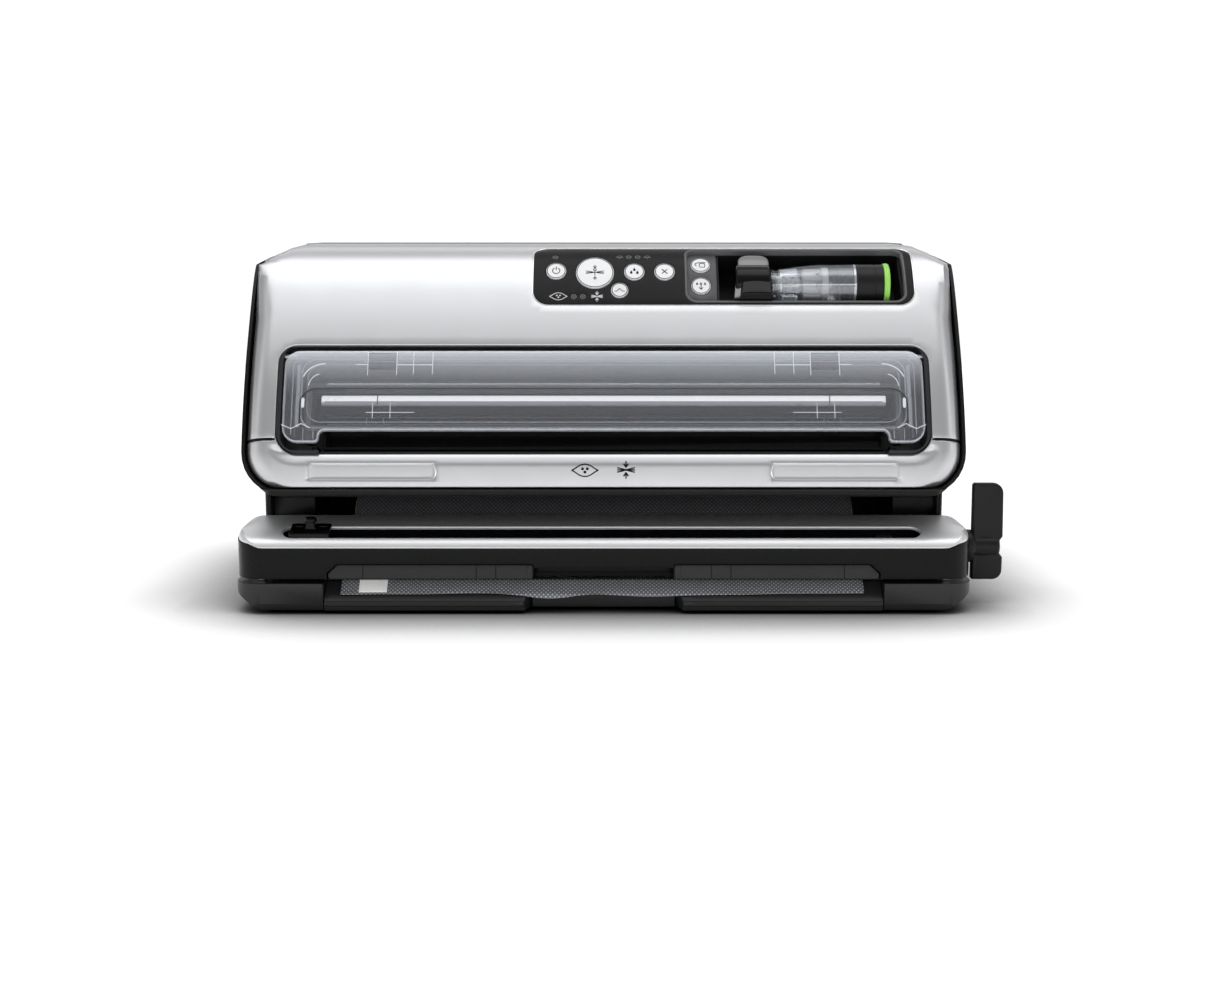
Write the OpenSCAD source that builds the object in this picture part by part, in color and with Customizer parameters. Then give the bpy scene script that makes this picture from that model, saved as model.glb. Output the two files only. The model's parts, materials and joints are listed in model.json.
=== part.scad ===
// Vacuum sealer with a bag maker in its base.
// The front of the machine faces -Y, +X is to the right and +Z is up.
// The origin is the centre of the footprint, on the surface that the machine stands on.

/* [Housing] */
// Width of the upper unit
upper_w = 391; // [388:0.2:392]
// Depth of the machine from the clamp bar's face to the rear wall
body_d = 205; // [202:1:208]
// Wall of the moulded shells
wall = 2.4; // [2:0.1:2.8]
// Radius of the upper unit's lower corners
corner_r = 23; // [20:1:25]

/* [Window] */
// Half width of the clear lid
lid_half = 173; // [171:0.5:173]
// Thickness of the clear lid
lid_t = 3; // [2.6:0.1:3.2]

/* [Bag maker] */
// Width of the bag film
film_w = 280; // [240:1:290]
// Outer radius of the stored roll
roll_r = 26; // [20:0.5:26.5]
// How far the clamp bar comes down when the lever is turned
clamp_travel = 1.2; // [0.8:0.1:1.2]

/* [Controls] */
// Diameter of the small round buttons
button_d = 11.2; // [10:0.2:11.6]
// Diameter of the main button
main_button_d = 21.2; // [19:0.2:21.6]

/* [Hidden] */
$fn = 48;

yf = 104.1;            // distance from the clamp bar's face to the origin
lever_shift = 9.95;    // the lever moves the middle of the overall width this far to +X
hw = upper_w / 2;      // half width of the black shell
sw = hw - 2;           // half width of the silver shell
hinge_d = 203;         // rear hinge axis, depth and height
hinge_z = 68;
shaft_d = 27;          // lever shaft, depth and height
shaft_z = 33;

// ---- curved front: tilt of the surface normal above the horizon against arc length ----
tilt_table = [[-20, 8], [0, 9], [20, 15], [34, 20], [80, 31], [105, 33.5], [115, 34.5], [128, 40],
  [136, 50], [150, 75], [165, 90], [400, 90]];
function tt(s) = lookup(s, tilt_table);
s_step = 1;
s_first = -10;
path = [for (i = 0, y = 1.9, z = 58.7; i <= 240;
    y = y + sin(tt(s_first + i + 0.5)), z = z + cos(tt(s_first + i + 0.5)), i = i + 1) [y, z]];
function pt(s, h = 0) = let (k = s - s_first, i = floor(k), f = k - i,
    p = path[i] * (1 - f) + path[i + 1] * f, t = tt(s)) [p[0] - h * cos(t), p[1] + h * sin(t)];
// steps along the front, closer together where it curves more
function stations(a, b) = concat([a], [for (s = [0, 10, 20, 30, 40, 50, 60, 70, 80, 90, 100, 108, 115, 121,
    127, 131, 135, 139, 143, 147, 151, 155, 160, 165]) if (s > a + 0.6 && s < b - 0.6) s], [b]);
function band(a, b, h0, h1) = let (q = stations(a, b), n = len(q) - 1)
    concat([for (i = [0:n]) pt(q[i], h1)], [for (i = [n:-1:0]) pt(q[i], h0)]);

module placed() translate([-lever_shift, 0, 0]) children();
// extrudes a depth/height outline along X
module along_x(pts, x0, x1)
  translate([x0, 0, 0]) rotate([90, 0, 90]) linear_extrude(height = x1 - x0)
    polygon([for (p = pts) [p[0] - yf, p[1]]]);
// a frame on the front surface: x along X, y up the surface, z along its normal
module on_front(s, h = 0, x = 0) {
  p = pt(s, h);
  translate([x, p[0] - yf, p[1]]) rotate([90 - tt(s), 0, 0]) children();
}
module at(x, d, z) translate([x, d - yf, z]) children();
// points of an arc from angle a0 to a1
function arc(x, y, r, a0, a1, n = 8) = [for (i = [0:n]) [x + r * cos(a0 + (a1 - a0) * i / n), y + r * sin(a0 + (a1 - a0) * i / n)]];
module round_rect(w, l, r) polygon(concat(arc(w / 2 - r, l / 2 - r, r, 0, 90), arc(-w / 2 + r, l / 2 - r, r, 90, 180),
    arc(-w / 2 + r, -l / 2 + r, r, 180, 270), arc(w / 2 - r, -l / 2 + r, r, 270, 360)));
module block(x0, x1, d0, d1, z0, z1) translate([x0, d0 - yf, z0]) cube([x1 - x0, d1 - d0, z1 - z0]);
module rod_x(x0, x1, d, z, r) translate([x0, d - yf, z]) rotate([0, 90, 0]) cylinder(r = r, h = x1 - x0);

// a prism through the front, square to the chord from s0 to s1
module front_prism(s0, s1, x0, x1, r, h0, h1) {
  a = pt(s0); b = pt(s1);
  len = norm(b - a);
  m = (a + b) / 2;
  ang = atan2(b[1] - a[1], b[0] - a[0]);
  translate([(x0 + x1) / 2, m[0] - yf, m[1]]) rotate([ang, 0, 0]) translate([0, 0, h0])
    linear_extrude(height = h1 - h0) round_rect(x1 - x0, len, r);
}

// ---- upper unit envelope ----
top_z = pt(165)[1];
function side_outline(off, bottom) = concat(
    [[8 + off, bottom]], [for (s = concat([-2], stations(0, 165))) pt(s, -off)],
    [[body_d - 14, top_z - off], [body_d - 6, top_z - 3 - off], [body_d - 1.5 - off, top_z - 9 - 0.4 * off], [body_d - off, top_z - 16],
     [body_d - off, bottom]]);
// outline seen from the front: rounded lower corners, chamfered upper corners
module front_outline(half, bottom, top, r, cx, cz) polygon(concat([[half, top - cz], [half - cx * (1 + 3 / cz), top + 3], [-half + cx * (1 + 3 / cz), top + 3], [-half, top - cz]],
    arc(-half + r, bottom + r, r, 180, 270), arc(half - r, bottom + r, r, 270, 360)));
module front_extrude(d0, d1) at(0, d1, 0) rotate([90, 0, 0]) linear_extrude(height = d1 - d0) children();
// prism that rounds the side edges of the front
module side_round(half, r, lift) on_front(62, lift) rotate([90, 0, 0]) translate([0, 0, -200])
  linear_extrude(height = 400) polygon(concat([[-half, -300], [half, -300]],
    arc(half - r, -r, r, 0, 90, 6), arc(-half + r, -r, r, 90, 180, 6)));
module black_solid() intersection() {
  along_x(side_outline(0, 64), -hw, hw);
  front_extrude(-5, 212) front_outline(hw, 64, top_z, corner_r, 18.5, 11);
}
module silver_solid(off = 0) intersection() {
  along_x(side_outline(off, 60), -sw + off, sw - off);
  front_extrude(-5, 212) front_outline(sw - off, 68 + off, top_z - off, corner_r - 2 - off, 17.8, 10.5);
  side_round(sw - off, 16 - off, 0.4 - off);
}

module front_shell() color([0.76, 0.77, 0.78]) difference() {
  intersection() {
    difference() { silver_solid(); silver_solid(wall); }
    along_x(band(27, 205, -12, 8), -200, 200);
  }
  front_prism(18.7, 81.6, -176.4, 176.4, 12, -40, 40);
  front_prism(105.3, 149, -39.1, 171.7, 9, -40, 25);
}
module front_lip() color([0.8, 0.81, 0.82]) difference() {
  intersection() {
    difference() { silver_solid(); silver_solid(wall); }
    along_x(band(0.2, 25.4, -12, 8), -200, 200);
  }
  front_prism(18.7, 81.6, -176.4, 176.4, 12, -40, 40);
  // shallow thumb rests
  for (i = [-1, 1]) front_prism(4.4, 14, i * 124 - 34, i * 124 + 34, 3, -1.0, 8);
}
module rear_shell() color([0.06, 0.06, 0.065]) union() {
  difference() {
    black_solid();
    // hollow
    intersection() {
      along_x(side_outline(wall, 60), -hw + 1.8, hw - 1.8);
      front_extrude(-5, 212) front_outline(hw - 1.8, 65.8, top_z - wall, corner_r - 1.8, 17.6, 10.3);
    }
    // the front is open for the silver parts
    along_x(band(-4, 205.6, -6, 20), -200, 200);
    intersection() { silver_solid(-0.25); along_x(band(-4, 205.6, -12.4, 20), -200, 200); }
    block(-210, 210, -5, 215, 60, 66.6);
    block(-210, 210, -5, 14, 60, 67.6);
    // room for the hinge
    block(-210, 210, 196.6, 216, 60, 74.4);
    // power inlet and vents
    block(-150, -126, 200, 210, 84, 98);
    for (k = [0:11]) block(60 + 8 * k, 64 + 8 * k, 200, 210, 140, 170);
  }
  // screw posts, joined to the rear wall
  for (i = [-1, 1]) difference() {
    rodpost(i * 150, 150);
    at(i * 150, 160, 150) rotate([-90, 0, 0]) cylinder(r = 1.6, h = 40);
  }
}
module rodpost(x, z) at(x, 165, z) rotate([-90, 0, 0]) cylinder(r = 4, h = body_d - wall - 165 + 1);
module bottom_plate() color([0.07, 0.07, 0.075]) difference() {
  union() {
    intersection() {
      union() {
        block(-200, 200, 8.5, 194, 64, 66.4);
        along_x([[3.4, 64], [2.3, 65.4], [2.3, 67.2], [3.2, 67.8], [9.1, 67.8], [9.1, 64]], -200, 200);
      }
      front_extrude(-5, 212) front_outline(hw, 64, 150, corner_r, 18, 11);
    }
    block(-164, 164, 42, 44.5, 62.6, 64.2);
    for (i = [-1, 1]) block(i * 120 - 1.5, i * 120 + 1.5, 110, 190, 66.2, 72);
  }
  for (k = [0:7]) block(-60 + 16 * k, -52 + 16 * k, 150, 180, 60, 70);
}
module upper_hinge_knuckles() color([0.08, 0.08, 0.085])
  for (c = [-110, 0, 110]) difference() {
    union() {
      rod_x(c - 14.7, c + 14.7, hinge_d, hinge_z, 5.2);
      block(c - 14.7, c + 14.7, hinge_d - 5.2, body_d - wall, hinge_z, 82);
    }
    rod_x(c - 16, c + 16, hinge_d, hinge_z, 2.06);
  }
module base_hinge_knuckles() color([0.08, 0.08, 0.085])
  for (c = [-140, -80, -30, 30, 80, 140]) difference() {
    union() {
      rod_x(c - 14.5, c + 14.5, hinge_d, hinge_z, 5.2);
      block(c - 14.5, c + 14.5, hinge_d - 5.2, body_d - wall, 61, hinge_z);
    }
    rod_x(c - 16, c + 16, hinge_d, hinge_z, 2.06);
  }
module hinge_rod() color([0.7, 0.7, 0.72]) rod_x(-154.5, 154.5, hinge_d, hinge_z, 2);

// ---- control panel ----
buttons = [[-26.4, 127.5, button_d], [-4.9, 126.3, main_button_d], [17, 127, button_d + 0.2],
  [33.8, 127, button_d + 0.2], [8.8, 114.6, button_d - 1.6], [54, 134, button_d], [54, 119, button_d]];
lights = [[-16.5, 110.6], [-11.5, 110.6], [14, 138.5], [19, 138.5], [-27, 138.3]];
module button(k) color([0.86, 0.86, 0.87]) on_front(buttons[k][1], k > 4 ? -2.4 : 0, buttons[k][0]) union() {
  translate([0, 0, -2.4]) cylinder(d = buttons[k][2], h = 3.5);
  translate([0, 0, -4.4]) cylinder(d = 5, h = 2.1);
}
module control_bezel() color([0.2, 0.2, 0.21]) difference() {
  union() {
    intersection() {
      along_x(band(104, 150.5, -2.2, 0.25), -38.8, 171.4);
      front_prism(105.6, 148.7, -38.8, 171.4, 8.7, -40, 25);
    }
    // recessed plate for the two accessory buttons
    along_x(band(108, 146, -5, -2.4), 45.5, 62.6);
    along_x(band(107, 147, -5, -2), 44.6, 46);
  }
  for (k = [0:4]) on_front(buttons[k][1], -10, buttons[k][0]) cylinder(d = buttons[k][2] + 0.5, h = 20);
  for (k = [5, 6]) on_front(buttons[k][1], -10, buttons[k][0]) cylinder(d = buttons[k][2] + 0.5, h = 8.4);
  for (l = lights) on_front(l[1], -10, l[0]) cylinder(d = 1.8, h = 20);
  intersection() {
    along_x(band(107.6, 146.6, -2.4, 10), 46, 166.6);
    front_prism(107.6, 146.6, 46, 166.6, 6, -40, 25);
  }
  along_x(band(107.6, 146.6, -9, 0), 62.6, 166.6);
}
module indicator_lights() color([0.5, 0.75, 0.55])
  for (l = lights) on_front(l[1], -3, l[0]) cylinder(d = 1.8, h = 3.1);
module control_board() color([0.05, 0.3, 0.12]) on_front(124, -11, 0) union() {
  translate([-35, -15, 0]) cube([96.5, 34, 1.6]);
  for (x = [-26, 17, 33]) translate([x - 3, 0, 1.6]) cube([6, 6, 1.2]);
  translate([-8, -12, -5]) cube([14, 10, 5]);
}
// the dock's own frame: y up the pocket, z straight out of it
dock_a = pt(107.6); dock_b = pt(146.6);
dock_tilt = atan2(dock_b[1] - dock_a[1], dock_b[0] - dock_a[0]);
module in_dock() translate([0, (dock_a[0] + dock_b[0]) / 2 - yf, (dock_a[1] + dock_b[1]) / 2]) rotate([dock_tilt, 0, 0]) children();
module dock_box(x0, x1, v0, v1, w0, w1) in_dock() translate([x0, v0, w0]) cube([x1 - x0, v1 - v0, w1 - w0]);
module dock_liner() color([0.03, 0.03, 0.032]) union() {
  difference() {
    dock_box(62.8, 166.4, -18.8, 18.8, -22.4, -2.6);
    dock_box(64.3, 164.9, -17.3, 17.3, -20.9, 5);
  }
  // ribs that the handheld sealer lies on
  dock_box(78, 88, -8, 1, -21, -17);
  dock_box(144, 152, -8, 1, -21, -16.5);
}

// ---- handheld sealer in its dock, axis along X ----
hand_v = -3.5; hand_w = -4.5;
module hand_frame() in_dock() translate([0, hand_v, hand_w]) rotate([0, 90, 0]) children();
module handheld_head() color([0.04, 0.04, 0.045]) union() {
  dock_box(72.5, 92, hand_v - 11.5, hand_v + 15.5, hand_w - 12, hand_w - 1);
  dock_box(74, 90.5, hand_v + 2, hand_v + 15.5, hand_w - 2, hand_w + 9);
  hand_frame() translate([0, 0, 72.5]) cylinder(r = 12, h = 19.5);
}
module handheld_reservoir() color([0.75, 0.8, 0.85, 0.35]) hand_frame() difference() {
  union() {
    translate([0, 0, 92]) cylinder(r = 8, h = 6.6);
    translate([0, 0, 98.5]) cylinder(r1 = 9, r2 = 11.6, h = 20, $fn = 48);
    translate([0, 0, 118.4]) cylinder(r = 11.6, h = 22.2);
  }
  translate([0, 0, 94]) cylinder(r = 6.6, h = 6);
  translate([0, 0, 99.6]) cylinder(r1 = 7.6, r2 = 10.2, h = 19, $fn = 48);
  translate([0, 0, 118]) cylinder(r = 10.2, h = 23);
}
module handheld_valve() color([0.85, 0.87, 0.88]) hand_frame() union() {
  translate([0, 0, 96]) cylinder(r = 5.4, h = 13);
  translate([0, 0, 108.9]) cylinder(r = 3.4, h = 12);
  translate([0, 0, 120.8]) cylinder(r = 10.1, h = 4);
}
module handheld_collar() color([0.06, 0.06, 0.065]) hand_frame() union() {
  translate([0, 0, 132]) cylinder(r = 10.1, h = 9);
  translate([0, 0, 140.6]) cylinder(r = 11.6, h = 15.2);
}
module handheld_ring() color([0.45, 0.78, 0.2]) hand_frame() difference() {
  translate([0, 0, 155.8]) cylinder(r = 12.2, h = 4.4);
  translate([0, 0, 157]) cylinder(r = 7, h = 5);
}

// ---- vacuum chamber behind the clear lid ----
ax_s = 75.3; ax_h = -4.4;      // lid hinge axis on the front
axp = pt(ax_s, ax_h);
module vacuum_chamber() color([0.05, 0.05, 0.055]) difference() {
  intersection() {
    along_x(band(18, 82, -23, -0.8), -176.1, 176.1);
    front_prism(19.1, 81.3, -176.1, 176.1, 11.7, -60, 40);
  }
  intersection() {
    along_x(band(20.6, 80.4, -20.5, 2), -173.9, 173.9);
    front_prism(20.6, 80.4, -173.9, 173.9, 8, -60, 40);
  }
  // the bag goes in over the front wall
  along_x(band(15, 24, -7.5, 5), -153, 153);
  rod_x(-178, 178, axp[0], axp[1], 1.56);
}
module drip_tray() color([0.04, 0.04, 0.042]) difference() {
  along_x(band(22, 43.5, -20.2, -9.5), -152, 152);
  along_x(band(23.6, 41.9, -18.6, 0), -150.4, 150.4);
}
module gasket_ring(s0, s1, x, h0, h1, w) difference() {
  along_x(band(s0, s1, h0, h1), -x, x);
  along_x(band(s0 + w, s1 - w, h0 - 5, h1 + 5), -x + w, x - w);
}
module channel_gasket() color([0.13, 0.13, 0.14]) union() {
  along_x(band(54.8, 58.6, -20.5, -6.6), -162, 162);
  for (i = [-1, 1]) along_x(band(26, 54.8, -20.5, -7.6), i * 160 - 2, i * 160 + 2);
}
module seal_bar() color([0.8, 0.8, 0.82]) along_x(band(45.6, 52.4, -20.5, -7.8), -153.5, 153.5);
module heating_strip() color([0.85, 0.84, 0.82]) along_x(band(47.6, 50.4, -7.8, -7.4), -152, 152);
module lid_latches() color([0.07, 0.07, 0.075]) for (i = [-1, 1]) union() {
  along_x(band(21, 24, -20.4, -8), i * 161 - 6, i * 161 + 6);
  along_x(band(21, 22.4, -8.1, -3.4), i * 161 - 4, i * 161 + 4);
}
module clear_lid() color([0.8, 0.82, 0.86, 0.35]) difference() {
  union() {
    difference() {
      intersection() {
        along_x(band(24.6, 77, -lid_t, 0), -lid_half - 5, lid_half + 5);
        front_prism(24.6, 77, -lid_half, lid_half, 8.5, -40, 40);
      }
      // notch between the two legs
      front_prism(0, 31.2, -153.2, 153.2, 5, -40, 40);
    }
    // hinge ears and side ribs
    for (i = [-1, 1]) {
      along_x(band(73, 76.8, -6.6, -2.9), i * 169 - 2.6, i * 169 + 2.6);
      along_x(band(34, 70, -6, -2.9), i * 165.5 - 1, i * 165.5 + 1);
    }
    along_x(band(60.6, 62.4, -5.6, -2.9), -156, 156);
  }
  rod_x(-178, 178, axp[0], axp[1], 1.5);
}
module lid_gasket() color([0.2, 0.2, 0.22]) gasket_ring(31.8, 58.8, 160.8, -6.2, -lid_t - 0.2, 3);
module lid_pins() color([0.7, 0.7, 0.72]) for (i = [-1, 1])
  rod_x(i > 0 ? 167 : -175.6, i > 0 ? 175.6 : -167, axp[0], axp[1], 1.5);

// ---- inside the upper unit ----
module pump_motor() color([0.6, 0.6, 0.62]) union() {
  rod_x(-60, -8, 150, 104, 18);
  rod_x(-66, -60, 150, 104, 6);
  block(-54, -14, 134, 166, 66.6, 92);
}
module pump_head() color([0.15, 0.15, 0.16]) union() {
  block(-7.8, 30, 132, 168, 84, 124);
  rod_x(30, 36, 150, 116, 4);
  block(-2, 24, 136, 164, 66.6, 84);
}
tube_end = 72;
module vacuum_tube() color([0.85, 0.85, 0.85]) union() {
  rod_x(36.2, 100, 150, 116, 3);
  at(100, 150, 116) sphere(r = 3);
  at(100, 150, 116) rotate([90, 0, 0]) cylinder(r = 3, h = 150 - tube_end);
}
module power_inlet() color([0.05, 0.05, 0.052]) difference() {
  union() {
    block(-149.6, -126.4, 192, body_d, 84.4, 97.6);
    block(-152, -124, 200, body_d - wall, 82, 100);
  }
  for (i = [-1, 1]) at(-138 + i * 4.2, 196, 91) rotate([-90, 0, 0]) cylinder(r = 3.8, h = 20);
  at(-138, 196, 91) translate([-4.2, 0, -3.2]) cube([8.4, 20, 6.4]);
}
module shell_screws() color([0.55, 0.55, 0.57]) for (i = [-1, 1])
  at(i * 150, 166, 150) rotate([-90, 0, 0]) cylinder(r = 1.6, h = 33.8);

// ---- clamp bar: black housing, silver cover, cutter ----
cover = [[0.2, 36.6], [1.4, 38.8], [3.2, 40.6], [5.5, 41.9], [9, 43.4], [13, 44.8], [18, 46.1], [24, 47.2], [31, 48], [38, 48.4]];
function cover_below(t) = [for (p = cover) [p[0], p[1] - t]];
module plan(half, d0, d1, rf, rr, z0, z1) at(0, 0, z0) linear_extrude(height = z1 - z0)
  polygon(concat(arc(half - rf, d0 + rf, rf, 270, 360), arc(half - rr, d1 - rr, rr, 0, 90),
    arc(-half + rr, d1 - rr, rr, 90, 180), arc(-half + rf, d0 + rf, rf, 180, 270)));
module slot_cut(x0, x1, d0, d1, z0, z1) at((x0 + x1) / 2, (d0 + d1) / 2, z0) linear_extrude(height = z1 - z0)
  union() {
    square([x1 - x0 - (d1 - d0), d1 - d0], center = true);
    for (i = [-1, 1]) translate([i * (x1 - x0 - (d1 - d0)) / 2, 0]) circle(d = d1 - d0);
  }
module clamp_cover() color([0.78, 0.79, 0.8]) difference() {
  intersection() {
    along_x(concat(cover, [for (i = [9:-1:0]) [i == 9 ? 38 : cover[i][0] + (i == 0 ? 2.2 : i == 1 ? 1.4 : 0.6), cover[i][1] - 2.0]]), -200, 200);
    plan(198.4, 0.2, 38, 14.5, 12, 20, 60);
  }
  slot_cut(-172, 171.5, 6, 16, 20, 60);
}
module clamp_housing() color([0.045, 0.045, 0.05]) difference() {
  intersection() {
    along_x(concat([[0, 19.4], [0, 34.4]], [[3, 34.4], [3.4, 37.4], [5.9, 39], [9.4, 40.7], [13.4, 42.2], [18.4, 43.6], [24.4, 44.7], [31.4, 45.6], [38, 46]],
      [[38, 19.4]]), -200, 200);
    plan(198.8, 0, 38, 15, 12, 19, 60);
  }
  // hollow between the front and rear walls
  block(-193, 193, 18.6, 35, 22, 41);
  slot_cut(-174, 173.5, 4.4, 17.6, 31, 60);
  block(-172, 171.5, 9.6, 12.4, 10, 40);
  // grip inserts sit in two recesses, with an open pull notch between them
  for (i = [-1, 1]) block(i * 93.2 - 55.4, i * 93.2 + 55.4, -1, 3.6, 19, 27.6);
  block(-37.5, 37.5, -1, 9, 19, 25.6);
  // pressure pad groove
  block(-150.2, 150.2, 25.8, 33.2, 19, 22.6);
  rod_x(184, 202, shaft_d, shaft_z, 5.2);
  rod_x(-196, -184, shaft_d, shaft_z, 3.06);
  // guide bores over the two pegs of the base
  for (i = [-1, 1]) at(i * 186, 12, 15) cylinder(r = 3.06, h = 15);
}
module clamp_guides() color([0.6, 0.6, 0.62]) for (i = [-1, 1]) at(i * 186, 12, 17) cylinder(r = 3, h = 10);
module grip_inserts() color([0.16, 0.16, 0.17]) for (i = [-1, 1])
  along_x([[0.3, 19.5], [1.4, 27.3], [3.4, 27.3], [3.4, 19.5]], i * 93.2 - 55.1, i * 93.2 + 55.1);
module cutter_track() color([0.03, 0.03, 0.035]) difference() {
  slot_cut(-173.8, 173.3, 4.6, 17.4, 31.2, 37.6);
  slot_cut(-172, 171.5, 6, 16, 32.6, 60);
  block(-172, 171.5, 9.4, 12.6, 20, 60);
}
module pressure_pad() color([0.6, 0.2, 0.12]) block(-150, 150, 26, 33, 19.2, 22.4);
module lever_bush() color([0.75, 0.72, 0.6]) difference() {
  rod_x(188, 198.6, shaft_d, shaft_z, 5.2);
  rod_x(187, 200, shaft_d, shaft_z, 3.05);
}
slider_x = -157.8;
module cutter_slider() color([0.05, 0.05, 0.055]) union() {
  block(slider_x - 10.9, slider_x + 10.9, 6.9, 15.1, 33, 44.6);
  along_x([[6.9, 44], [6.9, 45.4], [15.5, 48.8], [23.2, 50.2], [23.2, 48.3], [15.3, 46.4], [14, 44]], slider_x - 10.9, slider_x + 10.9);
  block(slider_x - 2.8, slider_x + 2.8, 11, 16, 47, 52.6);
  at(slider_x, 13.5, 52.4) cylinder(r = 3.2, h = 2.6);
}
module cutter_blade() color([0.75, 0.76, 0.78]) along_x([[10.6, 19.8], [10.6, 33], [11.4, 33], [11.4, 19.8]], slider_x - 4.5, slider_x + 4.5);
module lever_paddle() color([0.05, 0.05, 0.055]) difference() {
  union() {
    rod_x(199.2, 202.6, shaft_d, shaft_z, 9);
    rod_x(202.4, 219.6, shaft_d, shaft_z, 5.6);
    along_x([[shaft_d - 3, shaft_z - 18.6], [shaft_d + 2.6, shaft_z - 18.6], [shaft_d + 3.6, shaft_z + 35], [shaft_d - 1.2, shaft_z + 35], [shaft_d - 3.6, shaft_z]], 202.4, 219.6);
  }
  rod_x(184, 207, shaft_d, shaft_z, 2.98);
  // outer corners of the paddle
  difference() { block(213.8, 221, 10, 45, shaft_z + 29.2, shaft_z + 36); rod_y(213.8, shaft_z + 29.2, 5.8); }
  difference() { block(214.2, 221, 10, 45, shaft_z - 20, shaft_z - 13.2); rod_y(214.2, shaft_z - 13.2, 5.4); }
}
module rod_y(x, z, r) at(x, 60, z) rotate([90, 0, 0]) cylinder(r = r, h = 60);
module lever_shaft() color([0.7, 0.7, 0.72]) union() {
  rod_x(-195.5, 206.8, shaft_d, shaft_z, 2.98);
  for (x = [-170, 150]) rod_x(x, x + 8, shaft_d, shaft_z + 1.4, 5);
}

// ---- base ----
module base_pan() color([0.075, 0.075, 0.08]) difference() {
  intersection() {
    plan(199.7, 0, body_d, 15, 12, 2, 17);
    front_extrude(-5, 212) polygon([[-199.8, 11], [-185, 2], [185, 2], [199.8, 11], [199.8, 17], [-199.8, 17]]);
    along_x([[2.6, 2], [0, 6], [0, 17], [body_d, 17], [body_d, 6], [body_d - 2.6, 2]], -202, 202);
  }
  block(-182, 182, 43, body_d - 3, 4.6, 20);
  block(-182, 182, 18, 43.1, 4.6, 14.2);
  block(-182, 182, 36, 43.1, 4.6, 20);
  // groove for the seal element
  block(-149.2, 149.2, 26.8, 32.2, 16.25, 20);
  // the sill piece sits in this recess
  block(-151.2, 151.2, -1, 16, -1, 20);
}
module slot_sill() color([0.07, 0.07, 0.075]) difference() {
  along_x([[1.2, 2], [0.2, 6], [0.2, 6.8], [1.2, 7.2], [1.2, 8.5], [10.5, 16.3], [15.8, 16.3], [15.8, 2]], -150.9, 150.9);
  // finger notch in the middle, and sloping ends
  block(-38, 38, -1, 9, -1, 20);
  for (i = [-1, 1]) translate([0, -yf, 0]) linear_extrude(height = 30)
    polygon([[i * 37, -1], [i * 43, -1], [i * 37.9, 9]]);
}
module base_housing() color([0.07, 0.07, 0.075]) difference() {
  union() {
    difference() {
      plan(189, 40, body_d, 3, 12, 17.1, 88);
      plan(185.6, 43, body_d - wall, 2, 9, 16, 100);
      block(-185.6, 185.6, 30, 45, 17.2, 100);
    }
    // wall between the roll bay and the rear bay, and the rear deck
    block(-185.8, 185.8, 110, 112.4, 17.1, 61);
    block(-185.8, 185.8, 112.2, body_d - wall + 0.2, 58.6, 61);
    // cheeks beside the roll
    for (i = [-1, 1]) block(min(i * 163, i * 185.8), max(i * 163, i * 185.8), 52, 110.2, 17.1, 56);
  }
  // the upper unit rests in the rounded tops of the side walls
  front_extrude(-5, 212) front_outline(hw + 0.5, 63.5, 300, corner_r + 0.5, 1, 1);
  rod_x(-200, 200, hinge_d, hinge_z, 6.2);
  block(-200, 200, 198, 215, 61.5, 75);
  for (i = [-1, 1]) rod_x(i > 0 ? 160 : -183, i > 0 ? 183 : -160, 77, 36, 12);
}
module rubber_feet() color([0.03, 0.03, 0.03]) for (x = [-165, 165], d = [28, 180]) at(x, d, 0) cylinder(r = 9, h = 2);
module base_screws() color([0.6, 0.6, 0.62]) for (x = [-120, 120], d = [120, 170]) at(x, d, 4.6) cylinder(r = 3, h = 3);
module roll_cradle() color([0.09, 0.09, 0.095]) difference() {
  block(-158, 158, 46, 108, 4.8, 24);
  rod_x(-160, 160, 77, 36, 28.5);
  block(-160, 160, 40, 74, 8.3, 30);
}
module film_roll() color([0.55, 0.58, 0.62]) difference() {
  rod_x(-film_w / 2, film_w / 2, 77, 36, roll_r);
  rod_x(-film_w / 2 - 1, film_w / 2 + 1, 77, 36, 17.1);
}
module roll_core() color([0.72, 0.6, 0.45]) difference() {
  rod_x(-film_w / 2 - 2, film_w / 2 + 2, 77, 36, 17);
  rod_x(-film_w / 2 - 3, film_w / 2 + 3, 77, 36, 15);
}
module bag_seal_element() color([0.55, 0.5, 0.45]) block(-149, 149, 27, 32, 16.3, 16.9);
// film from under the roll, over the sill and out at the front
module film_sheet() color([0.75, 0.77, 0.8]) along_x([[1.6, 9.9], [10.6, 17.5], [36.8, 17.6], [47.2, 9.4], [72, 9.2],
  [72, 8.7], [46.8, 8.8], [36.5, 17.15], [10.8, 17.05], [2, 9.4]], -film_w / 2, film_w / 2);
module power_transformer() color([0.3, 0.3, 0.32]) union() {
  block(-60, 0, 130, 180, 6, 50);
  block(-70, 10, 140, 170, 10, 40);
}

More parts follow.
